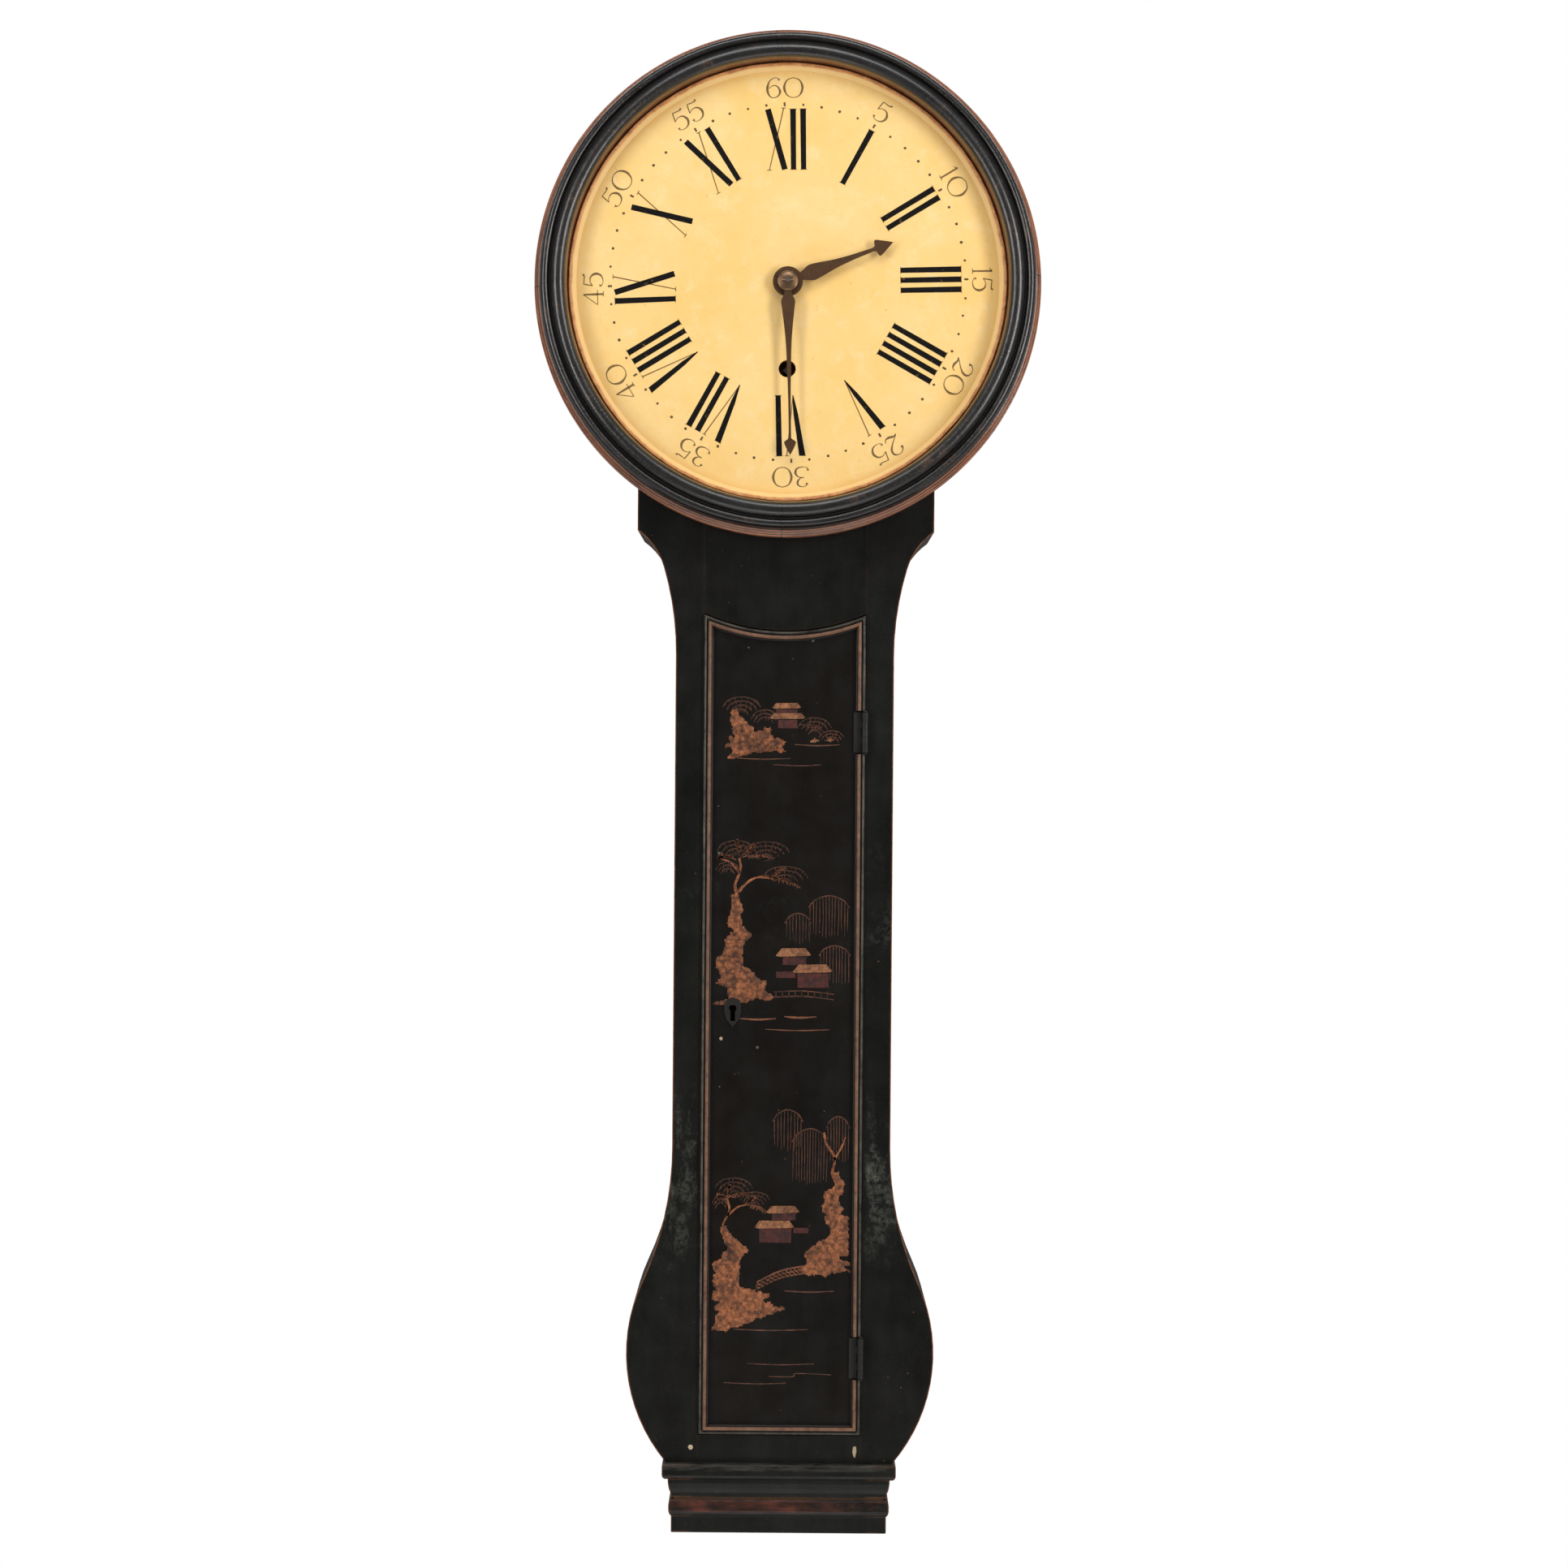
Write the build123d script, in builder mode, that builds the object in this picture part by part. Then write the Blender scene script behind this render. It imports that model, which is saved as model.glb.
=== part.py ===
from build123d import *
import math
import os

# A wall-hung weight-driven timepiece with a large painted wooden dial, a moulded
# dial ring, shoulders, a slim japanned trunk that swells round the pendulum bob,
# a lockable trunk door and a two-step moulded base.
# Millimetres. Origin: centre of the hanging hole, on the wall plane. +Z is up,
# +X is to the right seen from the room, and the front faces -Y. "d" below is a
# distance out from the wall, so y = -d, and "h" a height above the dial centre.

os.makedirs("parts", exist_ok=True)

# ---- driving dimensions ----
ZD = -190.0               # dial centre below the hanging hole
R_RING = 236.0            # outside of the dial ring
R_BEAD_IN = 196.0         # visible radius of the painted dial
R_BEAD_OUT = 203.4
DIAL_BACK, DIAL_FACE = 150.0, 170.0
HEAD_W = 138.4            # half width of the head and shoulders
TRUNK_W = 101.8           # half width of the straight trunk
BACK_T, SIDE_T = 14.0, 8.0
FRAME_BACK, FRAME_FACE = 138.0, 150.0
HEAD_TOP = 165.0
SHOULDER_H = -229.0       # corner where the head side meets the shoulder curve
TRUNK_BOTTOM = -1098.6
BASE_BOTTOM = -1164.5
STILE_IN = 76.0           # half width of the door opening
HEAD_IN = 112.0           # half width of the opening behind the dial
RAIL_TOP = -196.0

DOOR_HW = 75.6            # half width over the door moulding
DOOR_CORNER_H, DOOR_DIP_H, DOOR_BOTTOM_H = -306.8, -322.7, -1072.0
DOOR_MOULD_W, DOOR_MOULD_H = 9.5, 6.0
DOOR_TOP_LIP = 3.2          # how far the top moulding stands over the panel's edge
HINGE_X, HINGE_D, HINGE_R = 75.25, 154.5, 3.2
HINGE_HEIGHTS = (-416.5, -1000.0)
HINGE_LEN = 37.5

WIND_H = -80.0            # winding arbor below the dial centre
PALLET_H = 77.0           # pallet arbor and pendulum bend line
PENDULUM_D = 38.0
BOB_H, BOB_R, BOB_T = -930.0, 62.0, 30.0
LINE_D, LINE_X, LINE_R = 88.0, 14.05, 0.8
PULLEY_H = -860.0         # pulley centre with the weight run down
WEIGHT_R, WEIGHT_TOP, WEIGHT_BOTTOM = 29.0, -895.0, -1085.0

TAU = 2 * math.pi
MINUTE_ANGLE = math.radians(178.8)   # clockwise from twelve
HOUR_ANGLE = math.radians(69.2)


# ---- helpers ----
def front(d):
    """Plane parallel to the wall, d out from it, seen from the room."""
    return Plane.XZ.offset(d)


def p(x, h):
    return (x, ZD + h)


def level(h):
    """Horizontal plane at height h above the dial centre; local y is world Y."""
    return Plane.XY.offset(ZD + h)


def bow(c, r, a0, a1, s=1):
    """Arc about c from angle a0 to a1 in degrees, mirrored when s is -1."""
    q = [(s * (c[0] + r * math.cos(math.radians(a))), ZD + c[1] + r * math.sin(math.radians(a)))
         for a in (a0, (a0 + a1) / 2, a1)]
    ThreePointArc(*q)
    return q[0], q[2]


# Case outline on the right-hand side, as tangent arcs. t is the distance inwards.
SH_B, SH_BR = (388.4, -345.0), 286.6        # slow curve into the trunk
SH_AR, SH_ANG = 65.0, 163.5                 # quick curve under the shoulder
SH_A = (SH_B[0] + (SH_BR - SH_AR) * math.cos(math.radians(SH_ANG)),
        SH_B[1] + (SH_BR - SH_AR) * math.sin(math.radians(SH_ANG)))
BU_C, BU_CR = (405.4, -804.9), 303.6        # hollow curve into the swell
BU_DR, BU_ANG = 157.5, 24.54                # the swell itself
BU_D = (BU_C[0] - (BU_CR + BU_DR) * math.cos(math.radians(BU_ANG)),
        BU_C[1] - (BU_CR + BU_DR) * math.sin(math.radians(BU_ANG)))


def flank(s, t=0.0):
    """Edges of one side of the case from the shoulder to the foot; returns both ends."""
    ra = SH_AR + t
    top = 180 - math.degrees(math.asin((SHOULDER_H - SH_A[1]) / ra))
    start, q1 = bow(SH_A, ra, top, SH_ANG, s)
    q2, q3 = bow(SH_B, SH_BR + t, SH_ANG, 180, s)
    q4, q5 = bow(BU_C, BU_CR + t, 180, 180 + BU_ANG, s)
    rd = BU_DR - t
    foot = -math.degrees(math.asin((BU_D[1] - TRUNK_BOTTOM) / rd))
    q6, end = bow(BU_D, rd, BU_ANG, foot, s)
    Line(q3, q4)
    return start, end


def turned(x, h, steps):
    """Solid of revolution about an axis square to the wall; steps are (d, r)."""
    with BuildSketch(Plane(origin=(x, 0, ZD + h), x_dir=(1, 0, 0), z_dir=(0, 0, 1))) as sk:
        with BuildLine():
            Polyline((0, -steps[0][0]), *[(r, -d) for d, r in steps], (0, -steps[-1][0]), close=True)
        make_face()
    revolve(sk.sketch, axis=Axis((x, 0, ZD + h), (0, 1, 0)))


def upright(x, d, steps):
    """Solid of revolution about a vertical axis; steps are (h, r)."""
    with BuildSketch(Plane(origin=(x, -d, ZD), x_dir=(1, 0, 0), z_dir=(0, -1, 0))) as sk:
        with BuildLine():
            Polyline((0, steps[0][0]), *[(r, h) for h, r in steps], (0, steps[-1][0]), close=True)
        make_face()
    revolve(sk.sketch, axis=Axis((x, -d, ZD), (0, 0, 1)))


def block(x0, x1, d0, d1, h0, h1, mode=Mode.ADD):
    with BuildSketch(front(d0)) as sk:
        with Locations(p((x0 + x1) / 2, (h0 + h1) / 2)):
            Rectangle(x1 - x0, h1 - h0)
    extrude(sk.sketch, amount=d1 - d0, mode=mode)


def drill(x, h, d0, d1, r):
    with BuildSketch(front(d0)) as sk:
        with Locations(p(x, h)):
            Circle(r)
    extrude(sk.sketch, amount=d1 - d0, mode=Mode.SUBTRACT)


def drill_up(x, d, h0, h1, r):
    with BuildSketch(level(h0)) as sk:
        with Locations((x, -d)):
            Circle(r)
    extrude(sk.sketch, amount=h1 - h0, mode=Mode.SUBTRACT)


# ---- wheel work ----
WHEEL_TOOTH = (0.75, 1.15, 0.42, 0.16, 0.52)
PINION_LEAF = (0.45, 1.15, 0.36, 0.22, 0.22)


def toothed(x, h, n, module, phase, shape):
    """Corner points of a wheel with straight-flanked teeth, the first centred at phase."""
    add, ded, at_pitch, at_tip, at_root = shape
    r, pitch = n * module / 2, TAU / n
    tip, root = r + add * module, r - ded * module
    pts = []
    for k in range(n):
        a = phase + k * pitch
        w = pitch / 2
        pts += [(root, a - at_root * w), (r, a - at_pitch * w), (tip, a - at_tip * w * r / tip),
                (tip, a + at_tip * w * r / tip), (r, a + at_pitch * w), (root, a + at_root * w)]
    return [(x + q * math.cos(a), ZD + h + q * math.sin(a)) for q, a in pts]


def meshed(n1, phase1, n2, angle):
    """Phase of a wheel of n2 teeth that lies at that angle from a wheel of n1 teeth."""
    f1 = ((angle - phase1) * n1 / TAU) % 1
    f2 = (0.5 - f1) % 1
    return angle + math.pi - f2 * TAU / n2


def cross_out(x, h, r_in, r_out, arms, arm_w, turn=0.0):
    """The windows between a wheel's arms."""
    for k in range(arms):
        a0, a1 = turn + k * TAU / arms, turn + (k + 1) * TAU / arms
        ai = math.asin(arm_w / 2 / r_in)
        ao = math.asin(arm_w / 2 / r_out)

        def q(r, a):
            return (x + r * math.cos(a), ZD + h + r * math.sin(a))

        mid = (a0 + a1) / 2
        with BuildLine() as ln:
            l1 = ThreePointArc(q(r_in, a0 + ai), q(r_in, mid), q(r_in, a1 - ai))
            l2 = ThreePointArc(q(r_out, a0 + ao), q(r_out, mid), q(r_out, a1 - ao))
            Line(l1 @ 0, l2 @ 0)
            Line(l1 @ 1, l2 @ 1)
        make_face(ln.edges(), mode=Mode.SUBTRACT)


def wheel(x, h, d0, d1, n, module, phase, shape, bore, arms=None, turn=0.0, mode=Mode.ADD):
    with BuildSketch(front(d0)) as sk:
        with BuildLine():
            Polyline(*toothed(x, h, n, module, phase, shape), close=True)
        make_face()
        if arms:
            cross_out(x, h, *arms, turn)
        if bore:
            with Locations(p(x, h)):
                Circle(bore, mode=Mode.SUBTRACT)
    extrude(sk.sketch, amount=d1 - d0, mode=mode)


THIRD = (18.777, 24.162)
ESCAPE = (0.0, 46.0)
GREAT_N, CENTRE_PIN_N, GREAT_M = 144, 12, 160.0 / 156.0
CENTRE_N, THIRD_PIN_N, CENTRE_M = 60, 8, 0.9
THIRD_N, ESC_PIN_N, THIRD_M = 64, 8, 0.8
CANNON_N, MINUTE_N, CANNON_M = 40, 40, 0.78
MIN_PIN_N, HOUR_N, HOUR_M = 8, 96, 0.6
MINUTE_AT = (0.0, -31.2)

PH_GREAT = 0.011
PH_CENTRE_PIN = meshed(GREAT_N, PH_GREAT, CENTRE_PIN_N, math.pi / 2)
PH_CENTRE = 0.02
A_THIRD = math.atan2(THIRD[1], THIRD[0])
PH_THIRD_PIN = meshed(CENTRE_N, PH_CENTRE, THIRD_PIN_N, A_THIRD)
PH_THIRD = 0.03
A_ESC = math.atan2(ESCAPE[1] - THIRD[1], ESCAPE[0] - THIRD[0])
PH_ESC_PIN = meshed(THIRD_N, PH_THIRD, ESC_PIN_N, A_ESC)
PH_CANNON = 0.0
PH_MINUTE = meshed(CANNON_N, PH_CANNON, MINUTE_N, -math.pi / 2)
PH_MIN_PIN = 0.1
PH_HOUR = meshed(MIN_PIN_N, PH_MIN_PIN, HOUR_N, math.pi / 2)

# =====================================================================
# Case
# =====================================================================
with BuildPart() as backboard:
    with BuildSketch(front(0)):
        with BuildLine():
            r0, r1 = flank(1)
            l0, l1 = flank(-1)
            Line(r1, l1)
            Polyline(r0, p(HEAD_W, HEAD_TOP + 10), p(-HEAD_W, HEAD_TOP + 10), l0)
        make_face()
    extrude(amount=BACK_T)
    # bed for the iron hanging plate
    block(-22.2, 22.2, 0, 3.0, 130.0, HEAD_TOP + 10, mode=Mode.SUBTRACT)
    for sx, sh in ((-14, 142), (14, 142), (0, 158)):
        drill(sx, sh, 0, 11.2, 2.05)
    # holes for the two steadying screws low in the trunk
    for sx in (-60, 60):
        drill(sx, -1045, 0, BACK_T, 2.5)
backboard.part.label = "backboard"

with BuildPart() as hanging_plate:
    with BuildSketch(front(0)):
        with BuildLine():
            Polyline(p(-14, 190), p(-22, 172), p(-22, 130.2), p(22, 130.2), p(22, 172), p(14, 190))
            ThreePointArc(p(14, 190), p(0, 204), p(-14, 190))
        make_face()
        with Locations(p(0, 190)):
            Circle(5.0, mode=Mode.SUBTRACT)
        with Locations(p(-14, 142), p(14, 142), p(0, 158)):
            Circle(2.05, mode=Mode.SUBTRACT)
    extrude(amount=3.0)
    # countersinks for the three screws
    for sx, sh in ((-14, 142), (14, 142), (0, 158)):
        with BuildSketch(Plane(origin=(sx, 0, ZD + sh), x_dir=(1, 0, 0), z_dir=(0, 0, 1))):
            with BuildLine():
                Polyline((0, 0), (4.05, 0), (2.05, -2.0), (0, -2.0), close=True)
            make_face()
        revolve(axis=Axis((sx, 0, ZD + sh), (0, 1, 0)), mode=Mode.SUBTRACT)
hanging_plate.part.label = "hanging_plate"

with BuildPart() as hanging_plate_screws:
    for sx, sh in ((-14, 142), (14, 142), (0, 158)):
        turned(sx, sh, [(0.1, 3.9), (2.0, 2.0), (11.0, 2.0)])
hanging_plate_screws.part.label = "hanging_plate_screws"


def trunk_side(s):
    with BuildSketch(front(BACK_T)) as sk:
        with BuildLine():
            a0, a1 = flank(s)
            b0, b1 = flank(s, SIDE_T)
            Line(a0, b0)
            Line(a1, b1)
        make_face()
    extrude(sk.sketch, amount=FRAME_BACK - BACK_T)


with BuildPart() as trunk_side_left:
    trunk_side(-1)
trunk_side_left.part.label = "trunk_side_left"

with BuildPart() as trunk_side_right:
    trunk_side(1)
trunk_side_right.part.label = "trunk_side_right"


def stile(s):
    with BuildSketch(front(FRAME_BACK)) as sk:
        with BuildLine():
            a0, a1 = flank(s)
            Polyline(a0, p(s * HEAD_W, HEAD_TOP), p(s * HEAD_IN, HEAD_TOP), p(s * HEAD_IN, RAIL_TOP),
                     p(s * STILE_IN, RAIL_TOP), p(s * STILE_IN, TRUNK_BOTTOM), a1)
        make_face()
    extrude(sk.sketch, amount=FRAME_FACE - FRAME_BACK)


with BuildPart() as front_stile_left:
    stile(-1)
front_stile_left.part.label = "front_stile_left"

with BuildPart() as front_stile_right:
    stile(1)
    # beds for the case leaves of the two door hinges
    for hz in HINGE_HEIGHTS:
        block(STILE_IN - 1, STILE_IN + 1.5, 140.0, FRAME_FACE + 1, hz - HINGE_LEN / 2 - 0.2,
              hz + HINGE_LEN / 2 + 0.2, mode=Mode.SUBTRACT)
front_stile_right.part.label = "front_stile_right"

# The door's hollow top edge is an arc about a point above it.
_sag = DOOR_CORNER_H - DOOR_DIP_H
DOOR_R = (DOOR_HW ** 2 + _sag ** 2) / (2 * _sag)
DOOR_C = DOOR_DIP_H + DOOR_R


def door_outline(inset):
    """Door outline drawn in by an inset; the top arc grows by it."""
    w, r, b = DOOR_HW - inset, DOOR_R + inset, DOOR_BOTTOM_H + inset
    hc = DOOR_C - math.sqrt(r * r - w * w)
    ThreePointArc(p(-w, hc), p(0, DOOR_C - r), p(w, hc))
    Polyline(p(w, hc), p(w, b), p(-w, b), p(-w, hc))


with BuildPart() as front_rails:
    with BuildSketch(front(FRAME_BACK)):
        r = DOOR_R - 1.0
        hc = DOOR_C - math.sqrt(r * r - (STILE_IN - 0.05) ** 2)
        w = STILE_IN - 0.05
        with BuildLine():
            ThreePointArc(p(-w, hc), p(0, DOOR_C - r), p(w, hc))
            Polyline(p(w, hc), p(w, RAIL_TOP), p(-w, RAIL_TOP), p(-w, hc))
        make_face()
    extrude(amount=FRAME_FACE - FRAME_BACK)
    block(-w, w, FRAME_BACK, FRAME_FACE, TRUNK_BOTTOM, DOOR_BOTTOM_H - 1.0)
front_rails.part.label = "front_rails"

SIDE_DOOR = (32.0, 122.0, -118.0, 118.0)      # opening in the head side: d, d, h, h
SIDE_AXIS_X, SIDE_AXIS_D = HEAD_W - 5.0, 37.0


def head_side(s):
    x0, x1 = sorted((s * (HEAD_W - 10.0), s * HEAD_W))
    block(x0, x1, BACK_T, FRAME_BACK, SHOULDER_H, HEAD_TOP)
    block(x0 - 1, x1 + 1, SIDE_DOOR[0], SIDE_DOOR[1], SIDE_DOOR[2], SIDE_DOOR[3], mode=Mode.SUBTRACT)
    drill_up(s * SIDE_AXIS_X, SIDE_AXIS_D, SIDE_DOOR[2] - 7, SIDE_DOOR[3] + 7, 1.58)


with BuildPart() as head_side_left:
    head_side(-1)
head_side_left.part.label = "head_side_left"

with BuildPart() as head_side_right:
    head_side(1)
head_side_right.part.label = "head_side_right"

with BuildPart() as head_top_board:
    block(-HEAD_W, HEAD_W, BACK_T, FRAME_FACE, HEAD_TOP, HEAD_TOP + 10)
head_top_board.part.label = "head_top_board"

BASE_W, BASE_D = 98.0, 146.0
with BuildPart() as base_block:
    block(-BASE_W, BASE_W, 0, BASE_D, BASE_BOTTOM + 2.0, TRUNK_BOTTOM)
base_block.part.label = "base_block"


def base_run(profile):
    """A moulding mitred round the front and both sides of the base block."""
    with BuildLine() as path:
        Polyline((-BASE_W, 0, ZD), (-BASE_W, -BASE_D, ZD), (BASE_W, -BASE_D, ZD), (BASE_W, 0, ZD))
    with BuildSketch(Plane(origin=(-BASE_W, 0, ZD), x_dir=(-1, 0, 0), z_dir=(0, -1, 0))) as sk:
        with BuildLine():
            Polyline(*[(o, -h) for o, h in profile], close=True)
        make_face()
    sweep(sections=sk.sketch, path=path.wires()[0], transition=Transition.RIGHT)


with BuildPart() as base_mouldings:
    base_run([(0, -1098.6), (8.2, -1098.6), (10.0, -1099.4), (11.0, -1101.2), (11.0, -1109.6),
              (10.2, -1111.9), (8.4, -1113.4), (5.6, -1113.9), (5.4, -1118.0), (4.6, -1123.0),
              (3.2, -1127.0), (2.9, -1131.1), (0, -1131.1)])
    base_run([(0, -1133.4), (2.6, -1133.4), (4.1, -1135.0), (4.9, -1138.2), (4.9, -1143.6),
              (4.1, -1146.8), (2.5, -1148.8), (2.4, -1150.2), (2.4, -1163.6), (1.6, -1164.5), (0, -1164.5)])
base_mouldings.part.label = "base_mouldings"

SEAT_TOP, SEAT_BOTTOM = -160.0, -178.0
with BuildPart() as seatboard:
    block(-128.2, 128.2, 16, 136, SEAT_BOTTOM, SEAT_TOP)
    block(-24, 6, 74, 102, SEAT_BOTTOM - 1, SEAT_TOP + 1, mode=Mode.SUBTRACT)
    block(-24, 24, 24, 52, SEAT_BOTTOM - 1, SEAT_TOP + 1, mode=Mode.SUBTRACT)
    drill_up(LINE_X, LINE_D, SEAT_BOTTOM - 1, SEAT_TOP + 1, 1.2)
    for sx in (-68, 68):
        drill_up(sx, 85, SEAT_BOTTOM - 1, SEAT_TOP + 1, 3.2)
    # the two cleats it stands on
    for x0, x1 in ((-128.4, -108.0), (108.0, 128.4)):
        block(x0, x1, 20, 130, SEAT_BOTTOM - 20, SEAT_BOTTOM - 0.02)
seatboard.part.label = "seatboard"

# =====================================================================
# Dial
# =====================================================================
with BuildPart() as dial_board:
    with BuildSketch(front(DIAL_BACK)):
        with Locations(p(0, 0)):
            Circle(229.0)
            Circle(9.0, mode=Mode.SUBTRACT)
        with Locations(p(0, WIND_H)):
            Circle(8.0, mode=Mode.SUBTRACT)
    extrude(amount=DIAL_FACE - DIAL_BACK)
dial_board.part.label = "dial_board"

with BuildPart() as dial_battens:
    for h0 in (98.0, -152.0):
        block(-108, 108, 142, DIAL_BACK, h0, h0 + 26)
dial_battens.part.label = "dial_battens"

RING_PROFILE = [
    (203.5, 170.0), (203.5, 175.6), (204.6, 178.6), (205.9, 181.6), (207.2, 184.4),
    (208.2, 188.2), (209.6, 191.6), (211.4, 194.2), (213.4, 195.4), (215.2, 194.4),
    (216.8, 191.8), (217.9, 188.2), (218.7, 185.4), (219.8, 184.2), (221.0, 184.9),
    (221.7, 187.4), (223.0, 189.7), (224.7, 190.6), (226.2, 189.6), (227.1, 187.4),
    (228.2, 184.6), (230.0, 180.2), (231.9, 175.6), (233.4, 171.4), (234.0, 169.2),
    (235.2, 168.4), (235.8, 166.8), (235.8, 162.8), (235.0, 161.2), (234.4, 160.2),
    (235.3, 159.3), (R_RING, 157.8), (R_RING, 151.6), (235.0, 150.2), (229.2, 150.2),
    (229.2, 170.0),
]
with BuildPart() as dial_moulding:
    # four mitred segments, meeting at three, six, nine and twelve o'clock
    for k in range(4):
        a = math.radians(90 * k)
        with BuildSketch(Plane(origin=(0, 0, ZD), x_dir=(math.cos(a), 0, math.sin(a)),
                               z_dir=(-math.sin(a), 0, math.cos(a)))):
            with BuildLine():
                Polyline(*[(q, -d) for q, d in RING_PROFILE], close=True)
            make_face()
        revolve(axis=Axis((0, 0, ZD), (0, 1, 0)), revolution_arc=89.96)
dial_moulding.part.label = "dial_moulding"

with BuildPart() as dial_bead:
    with BuildSketch(Plane(origin=(0, 0, ZD), x_dir=(1, 0, 0), z_dir=(0, 0, 1))):
        with BuildLine():
            Polyline(*[(q, -d) for q, d in [
                (R_BEAD_IN, 170.0), (196.3, 171.6), (197.3, 173.6), (198.8, 175.3), (200.4, 176.1),
                (202.0, 176.0), (203.4, 175.0), (203.4, 170.0)]], close=True)
        make_face()
    revolve(axis=Axis((0, 0, ZD), (0, 1, 0)))
dial_bead.part.label = "dial_bead"


def along(angle, w, r):
    """Point at distance r along a hand and w to its right, the hand at that angle."""
    s, c = math.sin(angle), math.cos(angle)
    return (r * s + w * c, ZD + r * c - w * s)


def hand_blade(angle, half, tip, head_w, head_r):
    """Blade with curved flanks and an arrow head; half lists (half width, distance)."""
    with BuildLine() as ln:
        right = Spline(*[along(angle, w, r) for w, r in half])
        left = Spline(*[along(angle, -w, r) for w, r in half])
        Line(left @ 0, right @ 0)
        Line(right @ 1, along(angle, head_w, head_r))
        Line(left @ 1, along(angle, -head_w, head_r))
        ThreePointArc(along(angle, head_w, head_r), along(angle, head_w * 0.42, (head_r + tip) / 2),
                      along(angle, 0.25, tip))
        ThreePointArc(along(angle, -head_w, head_r), along(angle, -head_w * 0.42, (head_r + tip) / 2),
                      along(angle, -0.25, tip))
        Line(along(angle, 0.25, tip), along(angle, -0.25, tip))
    make_face(ln.edges())


HAND_T = 1.5
HOUR_D, MIN_D = 176.0, 180.2
with BuildPart() as hour_hand:
    with BuildSketch(front(HOUR_D)):
        hand_blade(HOUR_ANGLE, [(4.6, 8.0), (6.2, 15.0), (7.5, 23.0), (6.6, 36.0), (4.5, 60.0), (2.6, 82.0), (1.9, 91.0)],
                   104.0, 9.75, 90.6)
        with Locations(p(0, 0)):
            Circle(14.0)
            Circle(6.03, mode=Mode.SUBTRACT)
    extrude(amount=HAND_T)
hour_hand.part.label = "hour_hand"

with BuildPart() as minute_hand:
    with BuildSketch(front(MIN_D)):
        hand_blade(MINUTE_ANGLE, [(4.8, 6.0), (6.0, 12.0), (6.5, 19.0), (5.2, 36.0), (3.2, 60.0), (1.9, 84.0),
                                  (1.25, 112.0), (1.15, 151.0)], 161.5, 7.2, 150.4)
        with Locations(p(0, 0)):
            Circle(10.2)
            Circle(3.43, mode=Mode.SUBTRACT)
    extrude(amount=HAND_T)
minute_hand.part.label = "minute_hand"

with BuildPart() as hand_collet:
    turned(0, 0, [(181.75, 9.4), (182.6, 9.2), (183.6, 7.6), (184.3, 5.0), (184.6, 3.0)])
    drill(0, 0, 181, 186, 2.03)
    # tapered cross pin through the arbor, in front of the collet
    with BuildSketch(Plane(origin=(-6.2, -185.45, ZD), x_dir=(0, 1, 0), z_dir=(1, 0, 0))):
        Circle(0.7)
    extrude(amount=12.4)
hand_collet.part.label = "hand_collet"

# =====================================================================
# Trunk door, hinges and lock
# =====================================================================
KEY_X, KEY_H = -46.2, -674.5


def keyhole(d0, d1):
    with BuildSketch(front(d0)) as sk:
        with Locations(p(KEY_X, KEY_H)):
            Circle(3.6)
        with Locations(p(KEY_X, KEY_H - 6.0)):
            Rectangle(4.4, 12.0)
    extrude(sk.sketch, amount=d1 - d0, mode=Mode.SUBTRACT)


with BuildPart() as door_panel:
    # the hollow top edge lies under the moulding's lip, so that it clears the rail as it swings
    with BuildSketch(front(FRAME_BACK)):
        w, r, b = DOOR_HW - 0.8, DOOR_R + DOOR_TOP_LIP, DOOR_BOTTOM_H + 0.8
        hc = DOOR_C - math.sqrt(r * r - w * w)
        with BuildLine():
            ThreePointArc(p(-w, hc), p(0, DOOR_C - r), p(w, hc))
            Polyline(p(w, hc), p(w, b), p(-w, b), p(-w, hc))
        make_face()
    extrude(amount=FRAME_FACE - FRAME_BACK)
    # the back of that edge is cut straight across
    block(-DOOR_HW - 1, DOOR_HW + 1, FRAME_BACK - 1, FRAME_FACE - 3.0, DOOR_DIP_H - 1.5, DOOR_CORNER_H + 5,
          mode=Mode.SUBTRACT)
    # the closing edge is bevelled at the back so that it clears the stile
    with BuildSketch(level(DOOR_BOTTOM_H - 5)):
        with BuildLine():
            Polyline((-DOOR_HW + 0.8 - 1, -FRAME_BACK + 1), (-DOOR_HW + 0.8 + 1.6, -FRAME_BACK + 1),
                     (-DOOR_HW + 0.8 + 1.2, -FRAME_BACK), (-DOOR_HW + 0.8, -FRAME_FACE + 2),
                     (-DOOR_HW + 0.8 - 1, -FRAME_FACE + 2), close=True)
        make_face()
    extrude(amount=800, mode=Mode.SUBTRACT)
    keyhole(FRAME_BACK - 1, FRAME_FACE + 1)
door_panel.part.label = "door_panel"

with BuildPart() as door_moulding:
    with BuildSketch(front(FRAME_FACE)):
        with BuildLine():
            door_outline(0.0)
        make_face()
        with BuildLine():
            door_outline(DOOR_MOULD_W)
        make_face(mode=Mode.SUBTRACT)
    extrude(amount=DOOR_MOULD_H)
    rim = door_moulding.faces().sort_by(Axis.Y)[0]
    chamfer(rim.edges(), length=2.6)
    # gaps for the hinges
    for hz in HINGE_HEIGHTS:
        block(64.0, 80.0, FRAME_FACE - 1, FRAME_FACE + 9, hz - HINGE_LEN / 2 - 2.9, hz + HINGE_LEN / 2 + 2.9,
              mode=Mode.SUBTRACT)
door_moulding.part.label = "door_moulding"

KNUCKLES = 5
KN_LEN = HINGE_LEN / KNUCKLES


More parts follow.
